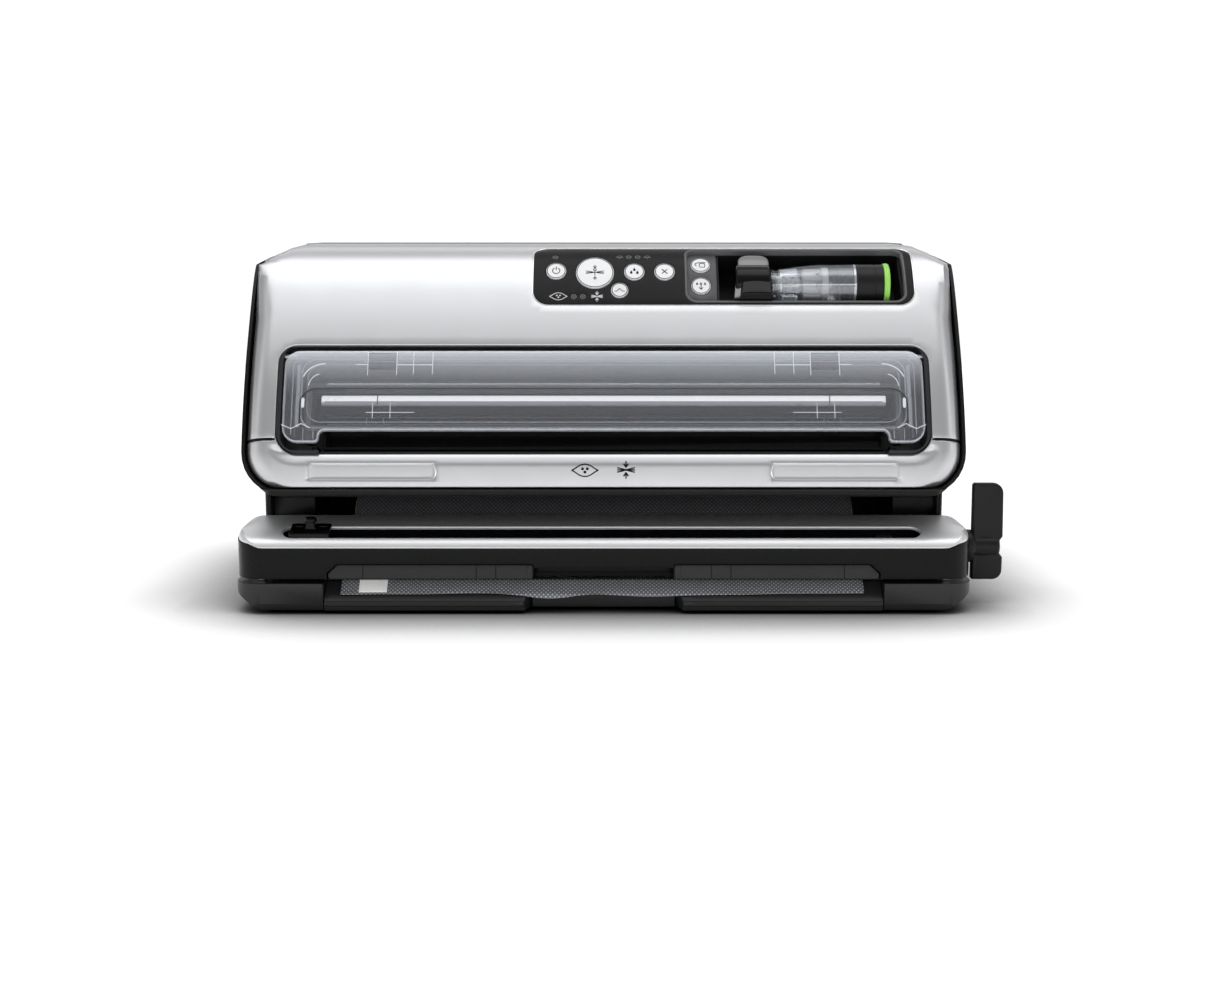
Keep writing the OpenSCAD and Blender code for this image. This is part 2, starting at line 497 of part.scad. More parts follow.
placed() base_pan();
placed() slot_sill();
placed() base_housing();
placed() rubber_feet();
placed() base_screws();
placed() roll_cradle();
placed() clamp_guides();
placed() base_hinge_knuckles();
placed() hinge_rod();
placed() bag_seal_element();
placed() film_sheet();
placed() power_transformer();
placed() film_roll();
placed() roll_core();
placed() clamp_housing();
placed() clamp_cover();
placed() grip_inserts();
placed() cutter_track();
placed() pressure_pad();
placed() lever_bush();
placed() cutter_slider();
placed() cutter_blade();
placed() lever_paddle();
placed() lever_shaft();
placed() front_shell();
placed() front_lip();
placed() rear_shell();
placed() bottom_plate();
placed() upper_hinge_knuckles();
placed() control_bezel();
placed() indicator_lights();
placed() control_board();
placed() dock_liner();
placed() vacuum_chamber();
placed() drip_tray();
placed() channel_gasket();
placed() seal_bar();
placed() heating_strip();
placed() lid_latches();
placed() pump_motor();
placed() pump_head();
placed() vacuum_tube();
placed() power_inlet();
placed() shell_screws();
placed() clear_lid();
placed() lid_gasket();
placed() lid_pins();
placed() handheld_head();
placed() handheld_reservoir();
placed() handheld_valve();
placed() handheld_collar();
placed() handheld_ring();
placed() button(0);  // button_power
placed() button(1);  // button_vacuum_seal
placed() button(2);  // button_moist
placed() button(3);  // button_cancel
placed() button(4);  // button_seal
placed() button(5);  // button_accessory
placed() button(6);  // button_marinate
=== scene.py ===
# Looks of the vacuum sealer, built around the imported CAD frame.
import math, json
import bpy, bmesh
import numpy as np
from mathutils import Vector, Matrix
from mathutils.geometry import delaunay_2d_cdt


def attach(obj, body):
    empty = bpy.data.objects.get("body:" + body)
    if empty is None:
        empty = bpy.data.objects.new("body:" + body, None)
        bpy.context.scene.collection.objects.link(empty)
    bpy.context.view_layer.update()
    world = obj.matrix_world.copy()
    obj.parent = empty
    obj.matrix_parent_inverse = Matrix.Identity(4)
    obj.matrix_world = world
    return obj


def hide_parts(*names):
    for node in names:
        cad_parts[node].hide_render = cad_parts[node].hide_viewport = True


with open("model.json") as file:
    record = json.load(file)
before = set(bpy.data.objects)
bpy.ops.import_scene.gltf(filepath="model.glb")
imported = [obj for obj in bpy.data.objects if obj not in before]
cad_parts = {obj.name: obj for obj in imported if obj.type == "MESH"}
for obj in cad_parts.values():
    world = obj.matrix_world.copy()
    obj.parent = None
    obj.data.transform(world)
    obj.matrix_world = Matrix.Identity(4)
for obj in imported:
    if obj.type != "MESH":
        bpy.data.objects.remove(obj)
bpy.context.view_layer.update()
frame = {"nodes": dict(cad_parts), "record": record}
NODES = frame["nodes"]

YF = 104.1        # mm from the clamp bar's face to the origin
LS = 9.95         # mm from the body's middle to the origin
SW = 193.5        # half width of the silver shell

# ------------------------------------------------------------------ camera and light
scene = bpy.context.scene
cam_data = bpy.data.cameras.new("camera")
cam = bpy.data.objects.new("camera", cam_data)
scene.collection.objects.link(cam)
scene.camera = cam
cam_data.sensor_width = 36.0
cam_data.lens = 1743.0 / 1215.0 * 36.0
cam_data.clip_start, cam_data.clip_end = 0.05, 50
cam.location = ((2.1 - LS) / 1000, (-919.0 - YF) / 1000, 0.2083)
cam.rotation_euler = (math.radians(81.0), 0, 0)
scene.view_settings.view_transform = "Standard"
scene.view_settings.look = "None"


def area(name, loc, target, size, energy, size_y=None, color=(1, 1, 1)):
    d = bpy.data.lights.new(name, "AREA")
    d.shape = "RECTANGLE"
    d.size, d.size_y = size, size_y or size
    d.energy = energy
    d.color = color
    o = bpy.data.objects.new(name, d)
    scene.collection.objects.link(o)
    o.location = loc
    o.rotation_euler = (Vector(target) - Vector(loc)).to_track_quat("-Z", "Y").to_euler()
    return o


area("top_box", (0.0, -0.17, 1.30), (0, -0.05, 0.1), 1.9, 7.9, 0.8)
area("back_box", (0.0, 0.95, 0.95), (0, 0.1, 0.0), 1.6, 2, 0.5)
area("front_box", (0.0, -2.0, 0.42), (0, 0, 0.1), 1.5, 2.2, 0.26)
area("left_box", (-1.35, -0.35, 0.75), (0, 0, 0.05), 0.35, 0.7, 0.9)
area("right_box", (1.35, -0.35, 0.75), (0, 0, 0.05), 0.35, 1.1, 0.9)

# the room: a white cove round the floor that fades to grey overhead
world = bpy.data.worlds.new("studio")
scene.world = world
world.use_nodes = True
wn, wl = world.node_tree.nodes, world.node_tree.links
wco = wn.new("ShaderNodeTexCoord")
wsep = wn.new("ShaderNodeSeparateXYZ")
wramp = wn.new("ShaderNodeValToRGB")
wmap = wn.new("ShaderNodeMapRange")
wl.new(wco.outputs["Generated"], wsep.inputs[0])
wl.new(wsep.outputs["Z"], wmap.inputs["Value"])
wmap.inputs["From Min"].default_value = -1
wmap.inputs["From Max"].default_value = 1
wl.new(wmap.outputs["Result"], wramp.inputs["Fac"])
els = wramp.color_ramp.elements
els[0].position, els[0].color = 0.0, (1.05, 1.05, 1.05, 1)
els[1].position, els[1].color = 1.0, (0.68, 0.68, 0.69, 1)
for pos, v in ((0.58, 1.05), (0.62, 0.35), (0.84, 0.35), (0.93, 0.66)):
    e = els.new(pos)
    e.color = (v, v, v, 1)
wl.new(wramp.outputs["Color"], wn["Background"].inputs[0])
wn["Background"].inputs[1].default_value = 1.0


# ------------------------------------------------------------------ materials
def mat(name, base, rough=0.5, metal=0.0, spec=0.5, grain=None, bump=None, mottle=None, rough_var=None,
        coat=0.0, coat_rough=0.1, transmission=0.0, ior=1.45, emission=0.0, edge=None, alpha=None):
    """grain=(scale, amount): fine colour speckle; bump=(scale, strength, distance); mottle=(scale, amount): broad variation."""
    m = bpy.data.materials.new(name)
    m.use_nodes = True
    nt = m.node_tree
    N, L = nt.nodes, nt.links
    b = N["Principled BSDF"]
    b.inputs["Base Color"].default_value = (*base, 1)
    b.inputs["Roughness"].default_value = rough
    b.inputs["Metallic"].default_value = metal
    b.inputs["Specular IOR Level"].default_value = spec
    b.inputs["IOR"].default_value = ior
    b.inputs["Coat Weight"].default_value = coat
    b.inputs["Coat Roughness"].default_value = coat_rough
    b.inputs["Transmission Weight"].default_value = transmission
    if emission:
        b.inputs["Emission Color"].default_value = (*base, 1)
        b.inputs["Emission Strength"].default_value = emission
    if alpha is not None:
        b.inputs["Alpha"].default_value = alpha
    co = N.new("ShaderNodeTexCoord")

    def noise_tex(scale, detail=4):
        t = N.new("ShaderNodeTexNoise")
        t.inputs["Scale"].default_value = scale
        t.inputs["Detail"].default_value = detail
        L.new(co.outputs["Object"], t.inputs["Vector"])
        return t

    col = None
    for kind in (mottle, grain):
        if kind:
            t = noise_tex(kind[0], 3)
            r = N.new("ShaderNodeMapRange")
            r.inputs["From Min"].default_value = 0.35
            r.inputs["From Max"].default_value = 0.65
            r.inputs["To Min"].default_value = 1 - kind[1]
            r.inputs["To Max"].default_value = 1 + kind[1]
            L.new(t.outputs["Fac"], r.inputs["Value"])
            mx = N.new("ShaderNodeVectorMath")
            mx.operation = "MULTIPLY"
            if col is None:
                mx.inputs[0].default_value = base
            else:
                L.new(col, mx.inputs[0])
            L.new(r.outputs["Result"], mx.inputs[1])
            col = mx.outputs[0]
    if col is not None:
        L.new(col, b.inputs["Base Color"])
    if rough_var:
        t = noise_tex(rough_var[0], 4)
        r = N.new("ShaderNodeMapRange")
        r.inputs["From Min"].default_value = 0.3
        r.inputs["From Max"].default_value = 0.7
        r.inputs["To Min"].default_value = max(0.02, rough - rough_var[1])
        r.inputs["To Max"].default_value = min(1.0, rough + rough_var[1])
        L.new(t.outputs["Fac"], r.inputs["Value"])
        L.new(r.outputs["Result"], b.inputs["Roughness"])
    if bump:
        t = noise_tex(bump[0], 2)
        bp = N.new("ShaderNodeBump")
        bp.inputs["Strength"].default_value = bump[1]
        bp.inputs["Distance"].default_value = bump[2]
        L.new(t.outputs["Fac"], bp.inputs["Height"])
        L.new(bp.outputs["Normal"], b.inputs["Normal"])
    return m


MAT = {
    "silver": mat("silver_paint", (0.57, 0.575, 0.59), 0.33, 0.85, 0.5, grain=(5200, 0.02), mottle=(9, 0.01), bump=(4200, 0.03, 0.00002), rough_var=(60, 0.02)),
    # a lighter, glossier copy of the silver paint: painted highlight on edges and crescents
    "silver_painted_highlight": mat("silver_painted_highlight", (0.8, 0.8, 0.81), 0.22, 0.9, 0.5, grain=(3000, 0.03), rough_var=(300, 0.05)),
    "shell": mat("black_shell", (0.0055, 0.0055, 0.006), 0.42, 0, 0.22, mottle=(14, 0.03), bump=(2600, 0.35, 0.00012), rough_var=(90, 0.05)),
    "base": mat("black_base", (0.0042, 0.0042, 0.0048), 0.27, 0, 0.16, mottle=(11, 0.04), bump=(3200, 0.16, 0.00008), rough_var=(70, 0.05)),
    "panel": mat("charcoal_panel", (0.0165, 0.0165, 0.0175), 0.28, 0, 0.1, mottle=(16, 0.08), bump=(3600, 0.06, 0.00005), rough_var=(50, 0.03)),
    "inner": mat("inner_black", (0.006, 0.006, 0.0065), 0.5, 0, 0.25, mottle=(20, 0.15), bump=(2400, 0.3, 0.0001), rough_var=(80, 0.06)),
    "grip": mat("grip_grey", (0.026, 0.026, 0.027), 0.42, 0, 0.3, mottle=(20, 0.1), bump=(2400, 0.3, 0.0001), rough_var=(80, 0.05)),
    "button": mat("button_grey", (0.74, 0.745, 0.76), 0.4, 0.15, 0.5, grain=(3800, 0.02), mottle=(60, 0.02), bump=(2600, 0.12, 0.00005), rough_var=(120, 0.04)),
    "ink": mat("dark_print", (0.006, 0.006, 0.007), 0.5, 0, 0.15, mottle=(120, 0.1), rough_var=(200, 0.06)),
    "ink_mid": mat("mid_print", (0.2, 0.2, 0.205), 0.5, 0, 0.3, mottle=(120, 0.05), rough_var=(200, 0.06)),
    # the clamp cover's silver: a lighter, more diffuse copy of the silver paint, painted light on the cover under the
    # lip's overhang
    "silver_cover_painted_light": mat("silver_cover_painted_light", (0.72, 0.725, 0.74), 0.36, 0.62, 0.5, grain=(5200, 0.02), mottle=(9, 0.01), bump=(4200, 0.03, 0.00002), rough_var=(60, 0.02)),
    "ink_light": mat("light_print", (0.62, 0.63, 0.65), 0.5, 0, 0.4, mottle=(120, 0.05), rough_var=(200, 0.06)),
    # glowing clear material: painted highlight for the lid's lines and glints
    "clear_painted_highlight": mat("clear_painted_highlight", (0.90, 0.92, 0.98), 0.18, 0.1, 0.5, alpha=0.5, mottle=(30, 0.03), rough_var=(60, 0.03), emission=0.12),
    # dark clear material: painted shade laid over the lid's pockets
    "clear_painted_shade": mat("clear_painted_shade", (0.16, 0.165, 0.19), 0.15, 0.0, 0.4, alpha=0.17, mottle=(30, 0.05), rough_var=(60, 0.03)),
    "lens": mat("light_lens", (0.05, 0.055, 0.055), 0.2, 0, 0.5, mottle=(200, 0.06), rough_var=(200, 0.05)),
    "clear": mat("clear_plastic", (0.86, 0.89, 0.96), 0.1, 0.5, 0.5, alpha=0.22, mottle=(7, 0.02), rough_var=(40, 0.02)),
    "clear_edge": mat("clear_edge", (0.80, 0.84, 0.90), 0.14, 0.6, 0.5, alpha=0.42, mottle=(7, 0.03), rough_var=(40, 0.02)),
    "tube_clear": mat("tube_clear", (0.80, 0.83, 0.88), 0.06, 0.7, 0.5, alpha=0.15, mottle=(30, 0.02), rough_var=(60, 0.02)),
    "frost": mat("frosted_plastic", (0.42, 0.44, 0.48), 0.3, 0.2, 0.5, alpha=0.5, mottle=(20, 0.04), rough_var=(60, 0.04)),
    "satin": mat("satin_grey", (0.19, 0.19, 0.195), 0.34, 0.45, 0.5, mottle=(40, 0.05), bump=(2400, 0.15, 0.00005), rough_var=(80, 0.04)),
    "rim": mat("recess_rim", (0.10, 0.10, 0.105), 0.3, 0.1, 0.4, mottle=(30, 0.05), rough_var=(80, 0.04)),
    # a lighter copy of the black base plastic: painted light that stands for the floor's reflection on the front facets
    # of the sill and base pan
    "pan": mat("pan_black_painted_light", (0.023, 0.023, 0.0245), 0.34, 0, 0.4, mottle=(11, 0.08), bump=(3000, 0.16, 0.00008), rough_var=(70, 0.05)),
    "subplate": mat("accessory_plate", (0.075, 0.075, 0.079), 0.36, 0.2, 0.3, grain=(3200, 0.03), mottle=(30, 0.04), rough_var=(80, 0.04)),
    "chamber": mat("chamber_grey", (0.022, 0.0225, 0.025), 0.4, 0, 0.35, mottle=(18, 0.08), bump=(2000, 0.12, 0.00006), rough_var=(70, 0.05)),
    "gloss": mat("gloss_black", (0.003, 0.003, 0.0034), 0.16, 0, 0.22, mottle=(16, 0.1), rough_var=(40, 0.03)),
    # seal bar: painted glow, the bar glows though it is no lamp
    "bar": mat("seal_bar_painted_glow", (0.90, 0.92, 0.95), 0.28, 0.1, 0.6, mottle=(12, 0.015), rough_var=(30, 0.03), emission=0.42),
    # heating tape: a weak painted glow, it glows though it is no lamp
    "bar2": mat("seal_bar_tape_painted_glow", (0.30, 0.31, 0.33), 0.3, 0.1, 0.5, mottle=(12, 0.02), rough_var=(30, 0.03), emission=0.05),
    "frost_line": mat("moulded_line", (0.11, 0.115, 0.13), 0.3, 0.1, 0.5, mottle=(30, 0.05), rough_var=(60, 0.04)),
    # film label: painted glow, it glows to stay white in the shade under the overhang
    "label": mat("paper_label_painted_glow", (0.90, 0.90, 0.89), 0.6, 0, 0.3, emission=0.22, mottle=(60, 0.03), bump=(900, 0.1, 0.00005), rough_var=(100, 0.05)),
    "lever": mat("lever_black", (0.008, 0.008, 0.0088), 0.38, 0, 0.26, mottle=(18, 0.1), bump=(2600, 0.25, 0.0001), rough_var=(90, 0.05)),
    "green": mat("green_ring", (0.32, 0.70, 0.12), 0.3, 0, 0.5, mottle=(60, 0.06), bump=(2600, 0.1, 0.00005), rough_var=(90, 0.05)),
    "valve": mat("valve_white", (0.40, 0.41, 0.43), 0.4, 0, 0.5, mottle=(60, 0.05), bump=(2600, 0.15, 0.00006), rough_var=(90, 0.05)),
    "steel": mat("steel", (0.56, 0.56, 0.58), 0.3, 1.0, 0.5, mottle=(80, 0.06), bump=(1800, 0.12, 0.00005), rough_var=(160, 0.08)),
    "seal": mat("seal_metal", (0.86, 0.87, 0.89), 0.3, 0.85, 0.5, mottle=(30, 0.03), bump=(1600, 0.15, 0.00005), rough_var=(120, 0.06)),
    "tape": mat("heater_tape", (0.70, 0.69, 0.66), 0.4, 0.0, 0.5, mottle=(90, 0.06), bump=(1500, 0.3, 0.00008), rough_var=(120, 0.05)),
    "gasket": mat("gasket_rubber", (0.055, 0.057, 0.062), 0.75, 0, 0.3, mottle=(50, 0.15), bump=(1400, 0.7, 0.0003), rough_var=(120, 0.06)),
    "pad": mat("pad_rubber", (0.28, 0.06, 0.04), 0.6, 0, 0.4, mottle=(50, 0.1), bump=(1600, 0.3, 0.0001), rough_var=(120, 0.05)),
    "foot": mat("foot_rubber", (0.02, 0.02, 0.02), 0.75, 0, 0.3, mottle=(50, 0.1), bump=(1400, 0.5, 0.0002), rough_var=(120, 0.05)),
    "card": mat("core_card", (0.42, 0.30, 0.19), 0.8, 0, 0.3, mottle=(60, 0.12), bump=(900, 0.5, 0.0002), rough_var=(120, 0.05)),
    "motor": mat("motor_steel", (0.5, 0.5, 0.52), 0.38, 0.9, 0.5, mottle=(60, 0.1), bump=(1500, 0.2, 0.0001), rough_var=(120, 0.08)),
    "pump": mat("pump_black", (0.03, 0.03, 0.032), 0.5, 0, 0.5, mottle=(30, 0.12), bump=(2000, 0.3, 0.0001), rough_var=(90, 0.06)),
    "tube": mat("tube_silicone", (0.68, 0.68, 0.69), 0.5, 0, 0.5, mottle=(60, 0.06), bump=(1200, 0.2, 0.0001), rough_var=(90, 0.06)),
    "board": mat("circuit_board", (0.02, 0.13, 0.05), 0.4, 0, 0.5, mottle=(160, 0.2), bump=(2400, 0.3, 0.0001), rough_var=(120, 0.06)),
    "bush": mat("bush_nylon", (0.6, 0.57, 0.48), 0.5, 0, 0.5, mottle=(60, 0.06), bump=(2000, 0.2, 0.0001), rough_var=(90, 0.06)),
}
SLOT_MAT = {"silver_paint": "silver", "black_shell": "shell", "black_base": "base", "charcoal_panel": "panel", "inner_black": "inner", "grip_grey": "grip",
            "button_grey": "button", "light_lens": "lens", "clear_plastic": "clear", "lever_black": "lever", "green_ring": "green", "valve_white": "valve",
            "steel": "steel", "seal_metal": "seal", "heater_tape": "tape", "gasket_rubber": "gasket", "pad_rubber": "pad", "foot_rubber": "foot",
            "bag_film": "gasket", "core_card": "card", "motor_steel": "motor", "pump_black": "pump", "tube_silicone": "tube", "circuit_board": "board",
            "inlet_black": "shell", "bush_nylon": "bush"}
SLOT = {s["node"]: s["material_slot"] for s in frame["record"]["subparts"]}
BODY = {n: b for b, ns in frame["record"]["behaviour"]["bodies"].items() for n in ns}


def film_material(name, base, rough=0.35, scale=1 / 0.0054, angle=45, amount=0.5):
    """embossed bag film: a lattice of small raised diamonds"""
    m = bpy.data.materials.new(name)
    m.use_nodes = True
    nt = m.node_tree
    N, L = nt.nodes, nt.links
    b = N["Principled BSDF"]
    b.inputs["Roughness"].default_value = rough
    b.inputs["Specular IOR Level"].default_value = 0.6
    co = N.new("ShaderNodeTexCoord")
    mp = N.new("ShaderNodeMapping")
    mp.inputs["Rotation"].default_value = (0, 0, math.radians(angle))
    L.new(co.outputs["UV"], mp.inputs["Vector"])
    w = []
    for ax in ("X", "Y"):
        t = N.new("ShaderNodeTexWave")
        t.wave_type = "BANDS"
        t.bands_direction = ax
        t.wave_profile = "SIN"
        t.inputs["Scale"].default_value = scale
        L.new(mp.outputs["Vector"], t.inputs["Vector"])
        w.append(t)
    mul = N.new("ShaderNodeMath")
    mul.operation = "MULTIPLY"
    L.new(w[0].outputs["Fac"], mul.inputs[0])
    L.new(w[1].outputs["Fac"], mul.inputs[1])
    bp = N.new("ShaderNodeBump")
    bp.inputs["Strength"].default_value = amount
    bp.inputs["Distance"].default_value = 0.0004
    L.new(mul.outputs[0], bp.inputs["Height"])
    L.new(bp.outputs["Normal"], b.inputs["Normal"])
    r = N.new("ShaderNodeValToRGB")
    r.color_ramp.elements[0].position = 0.3
    r.color_ramp.elements[0].color = (base[0] * 0.62, base[1] * 0.62, base[2] * 0.62, 1)
    r.color_ramp.elements[1].position = 0.72
    r.color_ramp.elements[1].color = (min(1, base[0] * 2.3), min(1, base[1] * 2.3), min(1, base[2] * 2.3), 1)
    L.new(mul.outputs[0], r.inputs["Fac"])
    L.new(r.outputs["Color"], b.inputs["Base Color"])
    return m


def paint_reflection_by_height(m, z0, z1, stops):
    """painted reflection: the opacity of a clear moulding rises with height, densest near its hinge edge, so its upper
    part shows more of its bright surface
    """
    nt = m.node_tree
    N, L = nt.nodes, nt.links
    co = N.new("ShaderNodeTexCoord")
    sp = N.new("ShaderNodeSeparateXYZ")
    mr = N.new("ShaderNodeMapRange")
    rp = N.new("ShaderNodeValToRGB")
    L.new(co.outputs["Object"], sp.inputs[0])
    L.new(sp.outputs["Z"], mr.inputs["Value"])
    mr.inputs["From Min"].default_value, mr.inputs["From Max"].default_value = z0, z1
    L.new(mr.outputs["Result"], rp.inputs["Fac"])
    e = rp.color_ramp.elements
    e[0].position, e[0].color = stops[0][0], (stops[0][1],) * 3 + (1,)
    e[1].position, e[1].color = stops[-1][0], (stops[-1][1],) * 3 + (1,)
    for pos, v in stops[1:-1]:
        q = e.new(pos)
        q.color = (v, v, v, 1)
    L.new(rp.outputs["Color"], N["Principled BSDF"].inputs["Alpha"])


def paint_shade_and_glow_by_height(m, z0, z1, stops):
    """painted shade and glow: colour and emission strength are scaled with height, so the part is darker and glows less
    towards its lower edge
    """
    nt = m.node_tree
    N, L = nt.nodes, nt.links
    co = N.new("ShaderNodeTexCoord")
    sp = N.new("ShaderNodeSeparateXYZ")
    mr = N.new("ShaderNodeMapRange")
    rp = N.new("ShaderNodeValToRGB")
    L.new(co.outputs["Object"], sp.inputs[0])
    L.new(sp.outputs["Z"], mr.inputs["Value"])
    mr.inputs["From Min"].default_value, mr.inputs["From Max"].default_value = z0, z1
    L.new(mr.outputs["Result"], rp.inputs["Fac"])
    e = rp.color_ramp.elements
    e[0].position, e[0].color = stops[0][0], (stops[0][1],) * 3 + (1,)
    e[1].position, e[1].color = stops[-1][0], (stops[-1][1],) * 3 + (1,)
    for pos, v in stops[1:-1]:
        q = e.new(pos)
        q.color = (v, v, v, 1)
    b = N["Principled BSDF"]
    src = b.inputs["Base Color"].links[0].from_socket
    mx = N.new("ShaderNodeVectorMath")
    mx.operation = "MULTIPLY"
    L.new(src, mx.inputs[0])
    L.new(rp.outputs["Color"], mx.inputs[1])
    L.new(mx.outputs[0], b.inputs["Base Color"])
    em = N.new("ShaderNodeMath")
    em.operation = "MULTIPLY"
    L.new(rp.outputs["Color"], em.inputs[0])
    em.inputs[1].default_value = b.inputs["Emission Strength"].default_value
    L.new(em.outputs[0], b.inputs["Emission Strength"])


MAT["film"] = film_material("bag_film", (0.30, 0.31, 0.33))
# the roll is a much darker copy of the bag film: painted shade inside the machine
MAT["film_roll"] = film_material("bag_film_roll_painted_shade", (0.07, 0.072, 0.078))

# ------------------------------------------------------------------ the curved front (the CAD's own rule)
TILT = [(-20, 8), (0, 9), (20, 15), (34, 20), (80, 31), (105, 33.5), (115, 34.5), (128, 40), (136, 50), (150, 75), (165, 90), (400, 90)]
TX, TY = [a for a, _ in TILT], [b for _, b in TILT]
_ss = np.arange(-10, 231, 1.0)
_mid = np.interp(_ss[:-1] + 0.5, TX, TY)
_pd = np.concatenate([[1.9], 1.9 + np.cumsum(np.sin(np.radians(_mid)))])
_pz = np.concatenate([[58.7], 58.7 + np.cumsum(np.cos(np.radians(_mid)))])
# a lightly smoothed copy of the tilt, so that highlights run without kinks
_fine = np.arange(-20, 240, 0.5)
_ft = np.interp(_fine, TX, TY)
_k = np.hanning(25)
_k /= _k.sum()
_ft = np.convolve(np.pad(_ft, 12, mode="edge"), _k, mode="valid")


def tt(s):
    return float(np.interp(s, _fine, _ft))


def pt(s, h=0.0):
    t = math.radians(tt(s))
    return float(np.interp(s, _ss, _pd)) - h * math.cos(t), float(np.interp(s, _ss, _pz)) - 0.004 + h * math.sin(t)


TOPZ = pt(165)[1]
# painted reflection on the lid: it grows more opaque and brighter towards its top
paint_reflection_by_height(MAT["clear"], pt(24)[1] / 1000, pt(79)[1] / 1000, [(0.0, 0.08), (0.5, 0.09), (0.66, 0.15), (0.82, 0.32), (0.93, 0.58), (1.0, 0.8)])


def W(x, d, z):
    """body-centred millimetres to the shared frame in metres"""
    return Vector(((x - LS) / 1000, (d - YF) / 1000, z / 1000))


def front(x, s, h=0.0):
    d, z = pt(s, h)
    return W(x, d, z)


def half_at(s):
    """half width of the silver shell at arc length s"""
    z = pt(s)[1]
    w = SW
    if z > TOPZ - 10.5:
        w = SW - 17.8 * (z - (TOPZ - 10.5)) / 10.5
    if z < 89:
        r = 21.0
        w = SW - r + math.sqrt(max(0.0, r * r - (89 - z) ** 2))
    return w


def edge_r(s):
    """radius of the shell's rounded side edges"""
    return float(np.interp(s, [0, 100, 138, 165], [13.5, 13.5, 5.5, 4.5]))


def wrapped(u, s, h=0.0):
    """the silver shell's surface: u runs across the front and on round both side edges"""
    w, r = half_at(s), edge_r(s)
    a = w - r
    m, sg = abs(u), (1 if u >= 0 else -1)
    if m <= a:
        x, hh = m, h
    else:
        th = (m - a) / r
        if th <= math.pi / 2:
            x, hh = a + (r + h) * math.sin(th), -r + (r + h) * math.cos(th)
        else:
            x, hh = w + h, -r - (m - a - r * math.pi / 2)
        z0 = pt(s)[1]
        if z0 > TOPZ - 10.5 and hh < 0:
            # the sloping shoulder widens on the way down
            zp = max(TOPZ - 10.5, z0 + hh * math.sin(math.radians(tt(s))))
            x += max(0.0, SW - 17.8 * (zp - (TOPZ - 10.5)) / 10.5 - w)
    return front(sg * x, s, hh)


def umax(s):
    extra = float(np.interp(s, [0, 118, 142, 205], [2.0, 2.0, 6.9, 6.9]))
    return half_at(s) - edge_r(s) + edge_r(s) * math.pi / 2 + extra


# ------------------------------------------------------------------ mesh helpers
def link(name, me, material, body, replaces=(), smooth=32):
    o = bpy.data.objects.new(name, me)
    scene.collection.objects.link(o)
    if material is not None:
        me.materials.append(MAT[material] if isinstance(material, str) else material)
    if smooth is not None:
        me.shade_smooth()
        me.set_sharp_from_angle(angle=math.radians(smooth))
    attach(o, body)
    if replaces:
        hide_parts(*replaces)
    return o


def mesh_from(name, verts, faces, uvs=None):
    me = bpy.data.meshes.new(name)
    me.from_pydata([tuple(v) for v in verts], [], faces)
    if uvs is not None:
        lay = me.uv_layers.new(name="UVMap")
        for lp in me.loops:
            lay.data[lp.index].uv = uvs[lp.vertex_index]
    me.validate()
    return me


def fix_normals(me):
    bm = bmesh.new()
    bm.from_mesh(me)
    bmesh.ops.recalc_face_normals(bm, faces=bm.faces)
    bm.to_mesh(me)
    bm.free()
    return me


def rrect(x0, x1, y0, y1, r, n=7):
    """rounded rectangle, anticlockwise; r may be one radius or four (from the lower left, anticlockwise)"""
    rs = [r] * 4 if not isinstance(r, (list, tuple)) else list(r)
    cs = [(x0 + rs[0], y0 + rs[0], 180), (x1 - rs[1], y0 + rs[1], 270), (x1 - rs[2], y1 - rs[2], 0), (x0 + rs[3], y1 - rs[3], 90)]
    out = []
    for (cx, cy, a0), rr in zip(cs, rs):
        if rr <= 0:
            out.append((cx, cy))
            continue
        for i in range(n + 1):
            a = math.radians(a0 + 90 * i / n)
            out.append((cx + rr * math.cos(a), cy + rr * math.sin(a)))
    return out


def densify(loop, step):
    out = []
    n = len(loop)
    for i in range(n):
        a, b = np.array(loop[i]), np.array(loop[(i + 1) % n])
        k = max(1, int(math.ceil(np.linalg.norm(b - a) / step)))
        for j in range(k):
            out.append(tuple(a + (b - a) * j / k))
    return out


def inward(loop):
    """unit-ish inward offset direction of each point of an anticlockwise loop"""
    p = np.array(loop)
    e = np.roll(p, -1, 0) - p
    e /= np.maximum(np.linalg.norm(e, axis=1), 1e-9)[:, None]
    nrm = np.stack([-e[:, 1], e[:, 0]], 1)
    v = nrm + np.roll(nrm, 1, 0)
    v /= np.maximum(np.linalg.norm(v, axis=1), 1e-9)[:, None]
    c = np.einsum("ij,ij->i", v, nrm)
    return v / np.maximum(c, 0.5)[:, None]


def inside(pts, loop):
    pts = np.asarray(pts, float)
    x, y = pts[:, 0], pts[:, 1]
    res = np.zeros(len(pts), bool)
    p = np.array(loop)
    q = np.roll(p, -1, 0)
    for (x0, y0), (x1, y1) in zip(p, q):
        if y0 == y1:
            continue
        c = ((y0 > y) != (y1 > y)) & (x < (x1 - x0) * (y - y0) / (y1 - y0) + x0)
        res ^= c
    return res


def dist_to(pts, loop):
    pts = np.asarray(pts, float)
    p = np.array(loop)
    q = np.roll(p, -1, 0)
    best = np.full(len(pts), 1e9)
    for a, b in zip(p, q):
        ab = b - a
        L2 = max(float(ab @ ab), 1e-12)
        t = np.clip(((pts - a) @ ab) / L2, 0, 1)
        best = np.minimum(best, np.linalg.norm(pts - (a + t[:, None] * ab), axis=1))
    return best


